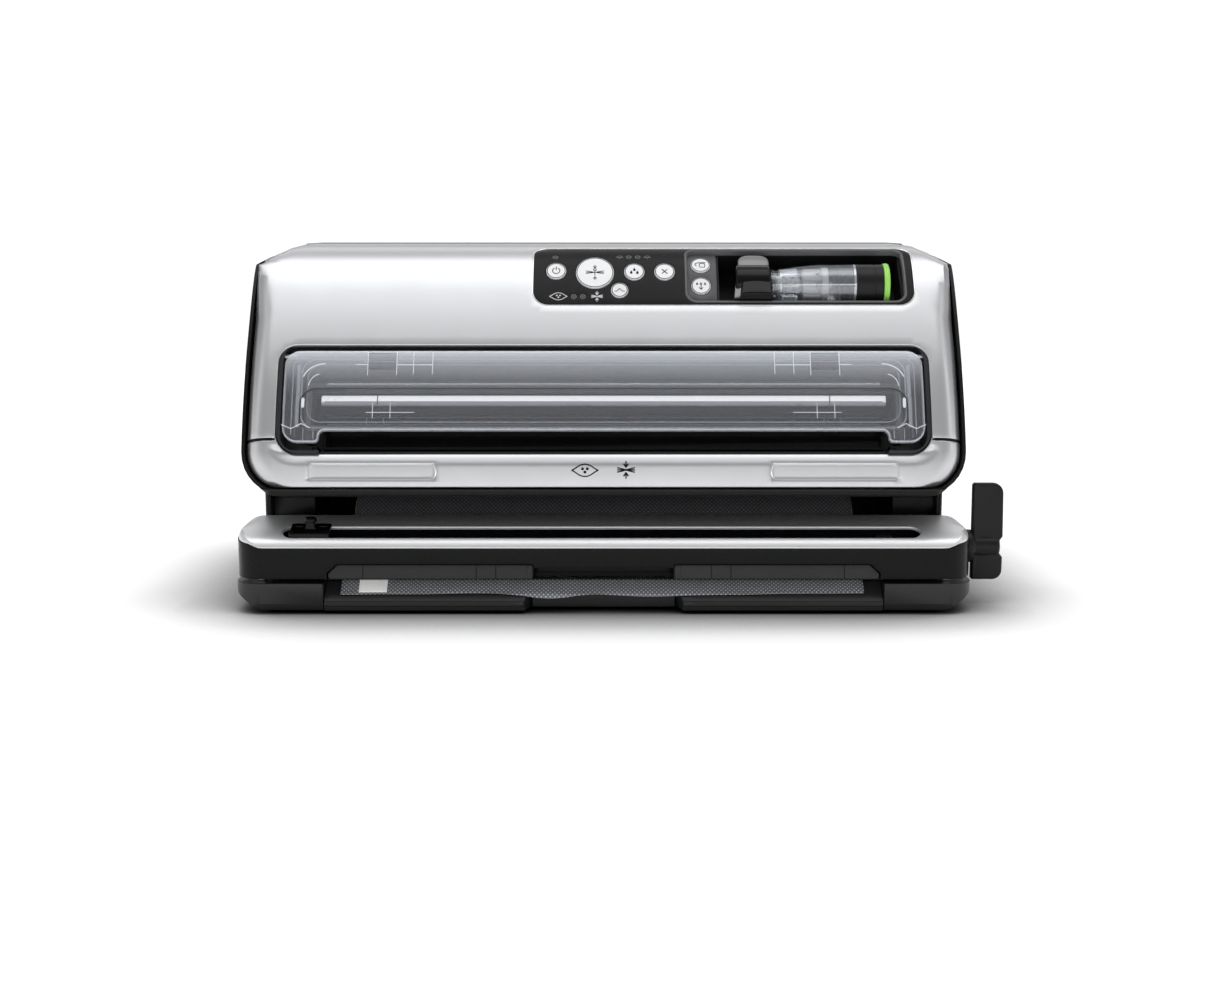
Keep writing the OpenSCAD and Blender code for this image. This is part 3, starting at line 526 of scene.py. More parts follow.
def skin(surf, outline, holes=(), R=0.8, Rh=0.8, thick=2.4, grid=(6.0, 6.0), steps=4, height=None, step=4.0, extra=(), back=None, uv=None):
    """A plate on the surface surf(u, v, h): an outline and holes with rounded edges, closed behind.
    R and Rh are edge radii (numbers, or functions of a point). height(u, v) adds local relief. extra holds more loops of points to keep."""
    pts, hs, edges = [], [], []
    loops0 = []

    def radius(f, p):
        return f(p) if callable(f) else f

    def add_loop(loop, hv):
        base = len(pts)
        pts.extend([tuple(map(float, p)) for p in loop])
        hs.extend(hv)
        n = len(loop)
        edges.extend([(base + i, base + (i + 1) % n) for i in range(n)])
        return base

    rings = [(outline, R, 1)] + [(h, Rh, -1) for h in holes]
    inner = []
    for loop, rad, sg in rings:
        loop = densify(loop, step)
        dirs = inward(loop) * sg
        rr = np.array([radius(rad, p) for p in loop])
        arr = np.array(loop)
        for k in range(steps + 1):
            a = math.pi / 2 * k / steps
            off = rr * (1 - math.cos(a))
            hh = -rr * (1 - math.sin(a))
            lp = arr + dirs * off[:, None]
            base = add_loop(lp, list(hh))
            if k == 0:
                loops0.append((base, len(loop), loop))
            if k == steps:
                inner.append((lp, sg))
    for loop in extra:
        add_loop(loop, [None] * len(loop))
    arr = np.array(outline)
    lo, hi = arr.min(0), arr.max(0)
    gx = np.arange(lo[0] + grid[0] / 2, hi[0], grid[0])
    gy = np.arange(lo[1] + grid[1] / 2, hi[1], grid[1])
    g = np.array([(a, b) for b in gy for a in gx], float).reshape(-1, 2)
    ok = inside(g, inner[0][0])
    clear = 0.45 * min(grid)
    for lp, sg in inner:
        if sg < 0:
            ok &= ~inside(g, lp)
        ok &= dist_to(g, lp) > clear
    for lp in extra:
        ok &= dist_to(g, lp) > clear
    for p in g[ok]:
        pts.append((float(p[0]), float(p[1])))
        hs.append(None)
    v2, _, f2, ov, _, _ = delaunay_2d_cdt([Vector(p) for p in pts], edges, [], 0, 1e-7)
    src = [o[0] if len(o) else None for o in ov]
    P = np.array([(v.x, v.y) for v in v2])
    F = [tuple(f) for f in f2 if len(f) == 3]
    cen = np.array([P[list(f)].mean(0) for f in F])
    keep = inside(cen, loops0[0][2])
    for base, n, lp in loops0[1:]:
        keep &= ~inside(cen, lp)
    F = [f for f, k in zip(F, keep) if k]
    H = [0.0] * len(P)
    for i, o in enumerate(src):
        h = hs[o] if o is not None else None
        H[i] = h if h is not None else 0.0
        if height is not None:
            H[i] += height(P[i][0], P[i][1])
    verts = [surf(P[i][0], P[i][1], H[i]) for i in range(len(P))]
    n = len(P)
    inv = {}
    for i, o in enumerate(src):
        if o is not None:
            for q in ov[i]:
                inv[q] = i
    faces = []
    for a, b, c in F:
        x = (P[b][0] - P[a][0]) * (P[c][1] - P[a][1]) - (P[b][1] - P[a][1]) * (P[c][0] - P[a][0])
        faces.append((a, b, c) if x > 0 else (a, c, b))
    if thick:
        bk = back or (lambda u, v: -thick)
        verts += [surf(P[i][0], P[i][1], bk(P[i][0], P[i][1])) for i in range(n)]
        faces += [(a + n, c + n, b + n) for a, b, c in list(faces)]
        for base, m, lp in loops0:
            for i in range(m):
                a, b = inv[base + i], inv[base + (i + 1) % m]
                if a != b:
                    faces.append((a, a + n, b + n, b))
    used = sorted({i for f in faces for i in f})
    re = {o: i for i, o in enumerate(used)}
    verts = [verts[i] for i in used]
    faces = [tuple(re[i] for i in f) for f in faces]
    uvs = None
    if uv is not None:
        uvs = [uv(P[i % n][0], P[i % n][1]) for i in used]
    me = mesh_from("skin", verts, faces, uvs)
    return fix_normals(me)


def soften(node, width=0.5, segments=2, material=None, angle=34, name=None, cuts=()):
    """A copy of a CAD node with its facets merged, its edges rounded and smooth shading; it stands for the node."""
    me = NODES[node].data.copy()
    me.materials.clear()
    bm = bmesh.new()
    bm.from_mesh(me)
    bmesh.ops.remove_doubles(bm, verts=bm.verts, dist=2e-6)
    bmesh.ops.dissolve_limit(bm, angle_limit=math.radians(1.2), use_dissolve_boundaries=False, verts=bm.verts, edges=bm.edges)
    for (cx, cd, cz), nrm in cuts:
        res = bmesh.ops.bisect_plane(bm, geom=bm.verts[:] + bm.edges[:] + bm.faces[:], dist=1e-7, plane_co=W(cx, cd, cz), plane_no=nrm, clear_outer=True)
        eds = [g for g in res["geom_cut"] if isinstance(g, bmesh.types.BMEdge) and g.is_valid and g.is_boundary]
        if eds:
            bmesh.ops.holes_fill(bm, edges=eds, sides=0)
    bmesh.ops.recalc_face_normals(bm, faces=bm.faces)
    bm.to_mesh(me)
    bm.free()
    o = link(name or node + "_skin", me, material or SLOT_MAT[SLOT[node]], BODY[node], (node,), smooth=angle)
    if width:
        b = o.modifiers.new("bevel", "BEVEL")
        b.width = width / 1000
        b.segments = segments
        b.limit_method = "ANGLE"
        b.angle_limit = math.radians(angle)
        b.harden_normals = True
        b.use_clamp_overlap = True
        b.miter_outer = "MITER_ARC"
    return o


# ------------------------------------------------------------------ floor
fme = bpy.data.meshes.new("floor")
fme.from_pydata([(0, 0, 0)] + [(1.6 * math.cos(math.radians(5 * i)), 1.6 * math.sin(math.radians(5 * i)), 0) for i in range(72)], [], [(0, i + 1, (i + 1) % 72 + 1) for i in range(72)])
floor = bpy.data.objects.new("floor", fme)
scene.collection.objects.link(floor)
fm_ = mat("pale_floor", (0.97, 0.97, 0.97), 0.8, 0, 0.0, emission=0.3, rough_var=(5, 0.03))
floor.data.materials.append(fm_)
# painted contact shadow: ambient occlusion darkens the floor's colour and glow where the machine stands close to it;
# the glow also rises away from the middle so the open floor stays evenly white
_N, _L = fm_.node_tree.nodes, fm_.node_tree.links
_ao = _N.new("ShaderNodeAmbientOcclusion")
_ao.inputs["Distance"].default_value = 0.085
_ao.samples = 16
_pw = _N.new("ShaderNodeMath")
_pw.operation = "POWER"
_L.new(_ao.outputs["AO"], _pw.inputs[0])
_pw.inputs[1].default_value = 2.3
_vm = _N.new("ShaderNodeVectorMath")
_vm.operation = "MULTIPLY"
_vm.inputs[0].default_value = (0.97, 0.97, 0.97)
_L.new(_pw.outputs[0], _vm.inputs[1])
_L.new(_vm.outputs[0], _N["Principled BSDF"].inputs["Base Color"])
_es = _N.new("ShaderNodeMath")
_es.operation = "MULTIPLY"
_L.new(_pw.outputs[0], _es.inputs[0])
_gl = _N.new("ShaderNodeVectorMath")
_gl.operation = "LENGTH"
_L.new(_N["Texture Coordinate"].outputs["Object"], _gl.inputs[0])
_gr = _N.new("ShaderNodeMapRange")
_gr.interpolation_type = "SMOOTHSTEP"
_gr.inputs["From Min"].default_value, _gr.inputs["From Max"].default_value = 0.35, 1.5
_gr.inputs["To Min"].default_value, _gr.inputs["To Max"].default_value = 0.30, 0.72
_L.new(_gl.outputs["Value"], _gr.inputs["Value"])
_L.new(_gr.outputs["Result"], _es.inputs[1])
_L.new(_es.outputs[0], _N["Principled BSDF"].inputs["Emission Strength"])

DONE = set()


# ------------------------------------------------------------------ silver front shell and lip
def shell_outline(s0, s1, step=2.0):
    n = int((s1 - s0) / step) + 1
    ss = np.linspace(s0, s1, n)
    right = [(umax(s), s) for s in ss]
    left = [(-umax(s), s) for s in ss[::-1]]
    return right + left


def top_relief(u, s):
    return 0.0



def window_notch_outline(s0, s1, xw, sw_top, r):
    """outline of the front shell: its lower edge is cut by the window, whose top corners are rounded"""
    n = int((s1 - s0) / 2.5) + 1
    ss = np.linspace(s0, s1, n)
    pts = []
    # from the lower left corner of the right leg, up the right side
    pts.append((xw, s0))
    for u in np.linspace(xw + 4, umax(s0), 8):
        pts.append((float(u), s0))
    for s in ss[1:]:
        pts.append((umax(s), float(s)))
    for s in ss[::-1]:
        pts.append((-umax(s), float(s)))
    for u in np.linspace(-umax(s0), -xw - 4, 8)[1:]:
        pts.append((float(u), s0))
    pts.append((-xw, s0))
    # up the left side of the window, across its top, and down the right side
    for i in range(9):
        a = math.radians(180 - 90 * i / 8)
        pts.append((-xw + r + r * math.cos(a), sw_top - r + r * math.sin(a)))
    for i in range(9):
        a = math.radians(90 - 90 * i / 8)
        pts.append((xw - r + r * math.cos(a), sw_top - r + r * math.sin(a)))
    return pts


me = skin(wrapped, window_notch_outline(26.9, 204.8, 176.4, 80.3, 10), [rrect(-39.3, 171.9, 105.1, 149.2, 9)],
          R=0.8, Rh=0.8, thick=2.4, grid=(5.0, 3.0), steps=4, step=3.0)
link("front_shell_skin", me, "silver", "upper_unit", ("front_shell",))
DONE.add("front_shell")


def lip_outline(s0, s1, xw, sb, r):
    """the U-shaped lip: its upper edge is cut by the window, whose lower corners are rounded"""
    ss = np.concatenate([np.linspace(s0, 6, 10), np.linspace(7.5, s1, 8)])
    pts = []
    for s in ss:
        pts.append((umax(s), float(s)))
    for u in np.linspace(umax(s1), xw + 4, 8)[1:]:
        pts.append((float(u), s1))
    pts.append((xw, s1))
    for i in range(9):
        a = math.radians(0 - 90 * i / 8)
        pts.append((xw - r + r * math.cos(a), sb + r + r * math.sin(a)))
    for i in range(9):
        a = math.radians(270 - 90 * i / 8)
        pts.append((-xw + r + r * math.cos(a), sb + r + r * math.sin(a)))
    pts.append((-xw, s1))
    for u in np.linspace(-xw - 4, -umax(s1), 8):
        pts.append((float(u), s1))
    for s in ss[::-1][1:]:
        pts.append((-umax(s), float(s)))
    return pts


def smooth01(t):
    t = min(1.0, max(0.0, t))
    return t * t * (3 - 2 * t)


def lip_relief(u, s):
    """the edge beside the window rolls back, round the corners too; even thumb rests"""
    dx, ds = abs(u) - (176.4 - 11), (18.7 + 11) - s
    if dx > 0 and ds > 0:
        D = math.hypot(dx, ds) - 11
    else:
        D = max(18.7 - s, abs(u) - 176.4)
    h = 0.0
    if D < 6.0:
        h = -2.4 * ((6.0 - max(D, -0.2)) / 6.0) ** 1.15 * smooth01((24.0 - s) / 6.0 if s > 18.0 else 1.0) * smooth01((190.0 - abs(u)) / 12.0)
    for sg in (-1, 1):
        x = sg * u
        if 88 < x < 160:
            e = min((x - 89.5) / 0.9, (158.5 - x) / 0.9, (s - 4.2) / 0.9, (13.8 - s) / 0.9)
            if e > 0:
                return h - 0.42 * smooth01(e)
    return h
    return h


pads = []
for sg in (-1, 1):
    x0, x1 = (89.5, 158.5) if sg > 0 else (-158.5, -89.5)
    for g in (0.0, 0.45, 0.9):
        pads.append(densify(rrect(x0 + g, x1 - g, 4.2 + g, 13.8 - g, max(0.4, 2.6 - g), 4), 2.5))
me = skin(wrapped, lip_outline(0.4, 25.9, 176.4, 18.7, 11), [], R=0.8, thick=2.3, grid=(2.6, 1.1), steps=4, step=2.5, height=lip_relief, extra=pads, back=lambda u, v: min(-2.3, lip_relief(u, v) - 1.0))
link("front_lip_skin", me, "silver", "upper_unit", ("front_lip",))
DONE.add("front_lip")
for sg, nm in ((-1, "left"), (1, "right")):
    # painted highlight: a bright crescent at the inner end of the thumb rest
    mid = 9.0
    cr = [(sg * (90.0 + 1.9 * (1 - math.cos(math.radians(a_)))), mid + 4.1 * math.sin(math.radians(a_))) for a_ in range(-70, 71, 10)]
    verts_, faces_ = [], []
    for i, (x_, s_) in enumerate(cr):
        w_ = 0.18 + 0.62 * math.cos(math.radians(-70 + 10 * i)) ** 1.5
        for du, hh in ((-w_, 0.02), (-w_ * 0.4, 0.2), (w_ * 0.4, 0.2), (w_, -0.3)):
            verts_.append(wrapped(x_ + sg * du, s_, hh))
    for i in range(len(cr) - 1):
        for j in range(3):
            faces_.append((i * 4 + j, i * 4 + j + 1, (i + 1) * 4 + j + 1, (i + 1) * 4 + j))
    o_ = link("thumb_edge_" + nm, fix_normals(mesh_from("crescent", verts_, faces_)), "silver_painted_highlight", "upper_unit", smooth=60)
    sol_ = o_.modifiers.new("thick", "SOLIDIFY")
    sol_.thickness, sol_.offset = 0.0004, -1



# ------------------------------------------------------------------ more helpers
def circle(cx, cy, r, n=40):
    return [(cx + r * math.cos(2 * math.pi * i / n), cy + r * math.sin(2 * math.pi * i / n)) for i in range(n)]


def revolve(profile, frame_fn, n=64, a0=0.0, a1=360.0):
    """profile [(r, h)] turned about an axis; frame_fn(a, b, h) places a point. A full turn closes on itself."""
    full = abs(a1 - a0) >= 359.9
    m = n if full else n + 1
    verts, faces = [], []
    rows = []
    for r, h in profile:
        if r < 1e-6:
            rows.append([len(verts)])
            verts.append(frame_fn(0, 0, h))
        else:
            row = []
            for i in range(m):
                a = math.radians(a0 + (a1 - a0) * i / n)
                row.append(len(verts))
                verts.append(frame_fn(r * math.cos(a), r * math.sin(a), h))
            rows.append(row)
    for p, q in zip(rows, rows[1:]):
        k = m if full else m - 1
        for i in range(k):
            j = (i + 1) % m
            if len(p) == 1 and len(q) == 1:
                continue
            if len(p) == 1:
                faces.append((p[0], q[j], q[i]))
            elif len(q) == 1:
                faces.append((p[i], p[j], q[0]))
            else:
                faces.append((p[i], p[j], q[j], q[i]))
    return fix_normals(mesh_from("turned", verts, faces))


def round_profile(pts, r, n=3):
    """a turned profile whose inner corners are rounded by r"""
    out = [pts[0]]
    for a, b, c in zip(pts, pts[1:], pts[2:]):
        va, vc = np.array(a) - np.array(b), np.array(c) - np.array(b)
        la, lc = np.linalg.norm(va), np.linalg.norm(vc)
        k = min(r, la * 0.45, lc * 0.45)
        p0, p1 = np.array(b) + va / la * k, np.array(b) + vc / lc * k
        for i in range(n + 1):
            u = i / n
            q = (1 - u) ** 2 * p0 + 2 * u * (1 - u) * np.array(b) + u * u * p1
            out.append((float(q[0]), float(q[1])))
    out.append(pts[-1])
    return out


def join(meshes):
    bm = bmesh.new()
    for m in meshes:
        bm.from_mesh(m)
    me = bpy.data.meshes.new("joined")
    bm.to_mesh(me)
    bm.free()
    return me


def ribbon(surf, pts, w, h0, h1, closed=False, caps=True):
    """a raised line of width w along pts on surf, with round joints and ends"""
    ms = []
    segs = list(zip(pts, pts[1:])) + ([(pts[-1], pts[0])] if closed else [])
    for a, b in segs:
        a, b = np.array(a, float), np.array(b, float)
        L = np.linalg.norm(b - a)
        if L < 1e-6:
            continue
        d = (b - a) / L
        ang = math.atan2(d[1], d[0])
        loop = []
        for i in range(7):
            t = ang + math.pi / 2 + math.pi * i / 6
            loop.append((a[0] + w / 2 * math.cos(t), a[1] + w / 2 * math.sin(t)))
        for i in range(7):
            t = ang - math.pi / 2 + math.pi * i / 6
            loop.append((b[0] + w / 2 * math.cos(t), b[1] + w / 2 * math.sin(t)))
        ms.append(prism(surf, loop, h0, h1))
    return join(ms)


def prism(surf, loop, h0, h1):
    n = len(loop)
    verts = [surf(x, y, h1) for x, y in loop] + [surf(x, y, h0) for x, y in loop]
    faces = [tuple(range(n)), tuple(range(2 * n - 1, n - 1, -1))]
    faces += [(i, i + n, (i + 1) % n + n, (i + 1) % n) for i in range(n)]
    return fix_normals(mesh_from("prism", verts, faces))


def slab(surf, loop, h0, h1, r=0.4, n=3):
    """a prism on surf whose upper edge is rounded by r"""
    loop = np.array(loop)
    dirs = inward(loop)
    rings = [(0.0, h0)]
    for k in range(n + 1):
        a = math.pi / 2 * k / n
        rings.append((r * (1 - math.cos(a)), h1 - r * (1 - math.sin(a))))
    verts, m = [], len(loop)
    for off, h in rings:
        for (x, y) in loop + dirs * off:
            verts.append(surf(float(x), float(y), h))
    faces = []
    for k in range(len(rings) - 1):
        for i in range(m):
            j = (i + 1) % m
            faces.append((k * m + i, k * m + j, (k + 1) * m + j, (k + 1) * m + i))
    faces.append(tuple(range((len(rings) - 1) * m, len(rings) * m)))
    faces.append(tuple(range(m - 1, -1, -1)))
    return fix_normals(mesh_from("slab", verts, faces))


def part(name, meshes, material, body, replaces=(), smooth=32):
    return link(name, join(meshes) if isinstance(meshes, (list, tuple)) else meshes, material, body, replaces, smooth)


# ------------------------------------------------------------------ control panel
PANEL = rrect(-38.8, 171.4, 105.6, 148.7, 8.7, 10)
RECESS = rrect(45.6, 167.0, 107.4, 146.8, 6.2, 10)
BTN = {"button_power": (-26.4, 127.5, 11.2), "button_vacuum_seal": (-4.9, 126.3, 21.2), "button_moist": (17, 127, 11.4), "button_cancel": (33.8, 127, 11.4),
       "button_seal": (8.8, 114.6, 9.6), "button_accessory": (54, 134, 11.2), "button_marinate": (54, 119, 11.2)}
LIGHTS = [(-16.5, 110.6), (-11.5, 110.6), (14, 138.5), (19, 138.5), (-27, 138.3)]
main_b = ["button_power", "button_vacuum_seal", "button_moist", "button_cancel", "button_seal"]
me = skin(front, PANEL, [RECESS] + [circle(BTN[k][0], BTN[k][1], BTN[k][2] / 2 + 0.25, 36) for k in main_b] + [circle(x, s, 0.95, 14) for x, s in LIGHTS],
          R=0.45, Rh=lambda p: 0.25, thick=1.2, grid=(4.0, 2.5), steps=3, step=2.0)
part("panel_face", me, "panel", "upper_unit", ("control_bezel",))
sub = skin(lambda x, s, h=0.0: front(x, s, h - 2.4), rrect(45.9, 62.8, 107.8, 146.4, 3.0, 6), [circle(BTN[k][0], BTN[k][1], BTN[k][2] / 2 + 0.25, 36) for k in ("button_accessory", "button_marinate")],
           R=0.3, Rh=0.25, thick=2.2, grid=(3.0, 3.0), steps=2, step=2.0)
part("accessory_plate", sub, "subplate", "upper_unit", ("control_bezel",))
# bevelled rim round the recess
rim_o, rim_i = np.array(densify(rrect(45.0, 167.6, 106.8, 147.4, 6.8, 10), 2.5)), None
dirs = inward([tuple(p) for p in rim_o])
rv, rf = [], []
rings = [(0.0, 0.02), (0.25, 0.22), (0.9, 0.22), (1.5, -0.35), (1.75, -2.2), (1.75, -2.9), (0.0, -2.9)]
m = len(rim_o)
for off, h in rings:
    for (x, y) in rim_o + dirs * off:
        rv.append(front(float(x), float(y), h))
for k in range(len(rings)):
    k2 = (k + 1) % len(rings)
    for i in range(m):
        j = (i + 1) % m
        rf.append((k * m + i, k * m + j, k2 * m + j, k2 * m + i))
part("recess_rim", fix_normals(mesh_from("rim", rv, rf)), "rim", "upper_unit", ("control_bezel",))
# painted highlight: a thin bright edge of the silver shell round the panel, in a lighter silver
po = np.array(densify(rrect(-39.15, 171.75, 105.25, 149.05, 9.0, 10), 2.5))
dirs = inward([tuple(p) for p in po])
m = len(po)
rings = [(-0.55, -0.02), (-0.35, 0.10), (0.0, 0.10), (0.22, -0.1), (0.3, -1.4), (-0.2, -1.4)]
rv, rf = [], []
for off, h in rings:
    for (x, y) in po + dirs * off:
        rv.append(front(float(x), float(y), h))
for k in range(len(rings)):
    k2 = (k + 1) % len(rings)
    for i in range(m):
        j = (i + 1) % m
        rf.append((k * m + i, k * m + j, k2 * m + j, k2 * m + i))
part("panel_trim", fix_normals(mesh_from("trim", rv, rf)), "silver_painted_highlight", "upper_unit")
DONE.add("control_bezel")


def on_button(name):
    x0, s0, dia = BTN[name]
    base_h = -2.4 if name in ("button_accessory", "button_marinate") else 0.0
    t = math.radians(tt(s0))
    d0, z0 = pt(s0)

    def f(a, b, h):
        # a across, b up the surface, h out of it, in a flat frame at the button's middle
        hh = h + base_h
        return W(x0 + a, d0 + b * math.sin(t) - hh * math.cos(t), z0 + b * math.cos(t) + hh * math.sin(t))
    return f


for name, (x0, s0, dia) in BTN.items():
    f = on_button(name)
    r = dia / 2
    prof = [(0, 0.46), (r * 0.5, 0.48), (r - 0.9, 0.52), (r - 0.5, 0.54), (r - 0.15, 0.42), (r - 0.02, 0.1), (r - 0.02, -2.3), (2.5, -2.35), (2.5, -4.3), (0, -4.3)]
    cap = revolve(round_profile(prof, 0.14, 2), f, 56)
    link(name + "_cap", cap, "button", name + "_body", (name,))
    ring = revolve([(r - 0.86, 0.535), (r - 0.80, 0.575), (r - 0.48, 0.575), (r - 0.42, 0.52), (r - 0.64, 0.45), (r - 0.86, 0.535)], f, 56)
    link(name + "_outline", ring, "ink", name + "_body")
    DONE.add(name)


def arc_pts(cx, cy, r, a0, a1, n=12):
    return [(cx + r * math.cos(math.radians(a0 + (a1 - a0) * i / n)), cy + r * math.sin(math.radians(a0 + (a1 - a0) * i / n))) for i in range(n + 1)]


def drop(cx, cy, r):
    """outline of a falling drop"""
    pts = arc_pts(cx, cy, r, -200, 20, 12)
    return pts + [(cx, cy + r * 2.3)]


ICON = {}
fw = 0.46
f = on_button("button_power")
ICON["button_power"] = [ribbon(f, arc_pts(0, 0, 2.0, 125, 415, 20), fw, 0.44, 0.56), ribbon(f, [(0, 0.6), (0, 2.6)], fw, 0.44, 0.56)]
f = on_button("button_vacuum_seal")
g = [ribbon(f, arc_pts(0, 1.9, 0.75, 0, 360, 12), 0.42, 0.44, 0.56), ribbon(f, [(-0.8, 4.1), (0, 3.2), (0.8, 4.1)], 0.46, 0.44, 0.56), ribbon(f, [(0, 3.2), (0, 5.0)], 0.42, 0.44, 0.56),
     ribbon(f, [(-0.8, -4.1), (0, -3.2), (0.8, -4.1)], 0.46, 0.44, 0.56), ribbon(f, [(0, -3.2), (0, -5.0)], 0.42, 0.44, 0.56), ribbon(f, [(0, 0.9), (0, -2.1)], 0.42, 0.44, 0.56)]
for k in (-1, 0, 1):
    g.append(ribbon(f, [(-4.9, 0.1 + k * 0.95), (-1.2, 0.1 + k * 0.28)], 0.36, 0.44, 0.56))
    g.append(ribbon(f, [(1.2, 0.1 + k * 0.28), (4.9, 0.1 + k * 0.95)], 0.36, 0.44, 0.56))
g.append(ribbon(f, [(-1.2, 0.1), (1.2, 0.1)], 0.45, 0.44, 0.56))
ICON["button_vacuum_seal"] = g
f = on_button("button_moist")
ICON["button_moist"] = [prism(f, drop(0, 1.0, 0.72), 0.44, 0.56), prism(f, drop(-1.7, -0.9, 0.72), 0.44, 0.56), prism(f, drop(1.7, -1.1, 0.72), 0.44, 0.56)]
f = on_button("button_cancel")
ICON["button_cancel"] = [ribbon(f, [(-1.4, -1.4), (1.4, 1.4)], 0.42, 0.44, 0.56), ribbon(f, [(-1.4, 1.4), (1.4, -1.4)], 0.55, 0.44, 0.56)]
f = on_button("button_seal")
ICON["button_seal"] = [ribbon(f, [(-2.7, -0.9), (-1.5, -0.7), (0, 1.0), (1.5, -0.7), (2.7, -0.9)], 0.36, 0.44, 0.56)]
f = on_button("button_accessory")
ICON["button_accessory"] = [ribbon(f, rrect(-0.6, 2.4, -1.8, 1.2, 0.5, 3), 0.36, 0.44, 0.56, True), ribbon(f, [(-0.9, 1.9), (2.7, 1.9)], 0.42, 0.44, 0.56),
                            ribbon(f, arc_pts(-1.9, 0.4, 1.1, 90, 250, 8), 0.42, 0.44, 0.56), ribbon(f, [(-1.9, 1.5), (-0.9, 1.9)], 0.38, 0.44, 0.56)]
f = on_button("button_marinate")
ICON["button_marinate"] = [ribbon(f, [(0, 1.0), (0, -2.4)], 0.42, 0.44, 0.56), ribbon(f, [(-1.0, -1.3), (0, -2.5), (1.0, -1.3)], 0.42, 0.44, 0.56),
                           prism(f, drop(-2.2, 1.0, 0.55), 0.44, 0.56), prism(f, drop(2.2, 1.0, 0.55), 0.44, 0.56), ribbon(f, arc_pts(0, 1.3, 0.5, 0, 360, 10), 0.34, 0.44, 0.56)]
for name, g in ICON.items():
    part(name + "_icon", g, "ink", name + "_body", smooth=None)

# pale line icons printed on the panel: generic signs for bag, seal and food kinds
pi = []


def bag_icon(surf, cx, cy, w, h, lw, h0, h1):
    """a bag with a drawn-in mouth: a long lens with three dots"""
    up = [(cx + w / 2 * k / 8, cy + h / 2 * max(0.0, 1 - (abs(k) / 7.0) ** 2 if abs(k) < 5.6 else 0.36 * (8 - abs(k)) / 2.4)) for k in range(-8, 9)]
    dn = [(x, 2 * cy - y) for x, y in up]
    g = [ribbon(surf, up, lw, h0, h1), ribbon(surf, dn, lw, h0, h1)]
    for dx, dy in ((-0.09, 0.12), (0.09, 0.12), (0, -0.14)):
        g.append(prism(surf, circle(cx + dx * w, cy + dy * h, lw * 1.15, 10), h0, h1))
    return g


def seal_icon(surf, cx, cy, w, h, lw, h0, h1):
    """two arrows that press layered film together"""
    g = []
    for sg in (-1, 1):
        g.append(ribbon(surf, [(cx - 0.12 * w, cy + sg * 0.34 * h), (cx, cy + sg * 0.17 * h), (cx + 0.12 * w, cy + sg * 0.34 * h)], lw * 1.2, h0, h1))
        g.append(ribbon(surf, [(cx, cy + sg * 0.2 * h), (cx, cy + sg * 0.5 * h)], lw, h0, h1))
        for k in (-1, 0, 1):
            g.append(ribbon(surf, [(cx + sg * w / 2, cy + k * 0.13 * h), (cx + sg * 0.12 * w, cy + k * 0.04 * h)], lw, h0, h1))
    g.append(ribbon(surf, [(cx - 0.12 * w, cy), (cx + 0.12 * w, cy)], lw * 1.5, h0, h1))
    return g


def P2(s_off=0):
    return lambda x, s, h: front(x, s, h)


pi += bag_icon(front, -25.0, 110.6, 9.8, 4.6, 0.42, 0.2, 0.32)
pi += seal_icon(front, -3.7, 110.6, 6.0, 6.4, 0.4, 0.2, 0.32)
part("panel_print", pi, "ink_light", "upper_unit", smooth=None)
pj = []
for cx in (8.9, 24.2):
    pj.append(ribbon(front, arc_pts(cx, 138.2, 1.5, 0, 180, 10) + [(cx - 1.5, 138.2)], 0.34, -0.02, 0.08))
    pj.append(ribbon(front, [(cx - 1.9, 138.2), (cx + 1.9, 138.2)], 0.34, -0.02, 0.08))
    pj.append(ribbon(front, [(cx, 138.2), (cx, 137.0)], 0.34, -0.02, 0.08))
pj.append(ribbon(front, arc_pts(-27, 138.3, 1.4, 0, 360, 14), 0.3, -0.02, 0.08))
for x, s in LIGHTS:
    pj.append(ribbon(front, arc_pts(x, s, 1.35, 0, 360, 14), 0.3, -0.02, 0.08))
part("panel_print_small", pj, "ink_mid", "upper_unit", smooth=None)

# black signs printed on the silver lip
lp = bag_icon(front, -10.0, 9.6, 14.0, 6.6, 0.72, -0.02, 0.07) + seal_icon(front, 12.0, 9.8, 9.0, 9.0, 0.72, -0.02, 0.07)
part("lip_print", lp, "ink", "upper_unit", smooth=None)
# the dark joint between the lip and the front shell, at both ends of the window
jn = []
for sg in (-1, 1):
    jn.append(ribbon(wrapped, [(sg * float(q_), 26.4) for q_ in np.linspace(178.2, umax(26.4) - 0.6, 14)], 1.5, -1.4, -0.1))
part("lip_joint", jn, "ink", "upper_unit", smooth=None)

# ------------------------------------------------------------------ clear lid
LEGS = []
r = 8.5


def lid_outline():
    a = [(-173 + r, 24.6)]
    pts = []
    # anticlockwise from the right leg's lower right corner
    def arc(cx, cy, rr, a0, a1, n=8):
        return [(cx + rr * math.cos(math.radians(a0 + (a1 - a0) * i / n)), cy + rr * math.sin(math.radians(a0 + (a1 - a0) * i / n))) for i in range(n + 1)]
    pts += arc(173 - r, 24.6 + r, r, -90, 0)
    pts += arc(173 - r, 77.2 - r, r, 0, 90)
    pts += arc(-173 + r, 77.2 - r, r, 90, 180)
    pts += arc(-173 + r, 24.6 + r, r, 180, 270)
    pts += arc(-153.2 - 2.4, 24.6 + 2.4, 2.4, -90, 0, 5)
    pts += arc(-153.2 + 3.4, 31.2 - 3.4, 3.4, 180, 90, 5)
    pts += arc(153.2 - 3.4, 31.2 - 3.4, 3.4, 90, 0, 5)
    pts += arc(153.2 + 2.4, 24.6 + 2.4, 2.4, 180, 270, 5)
    return pts


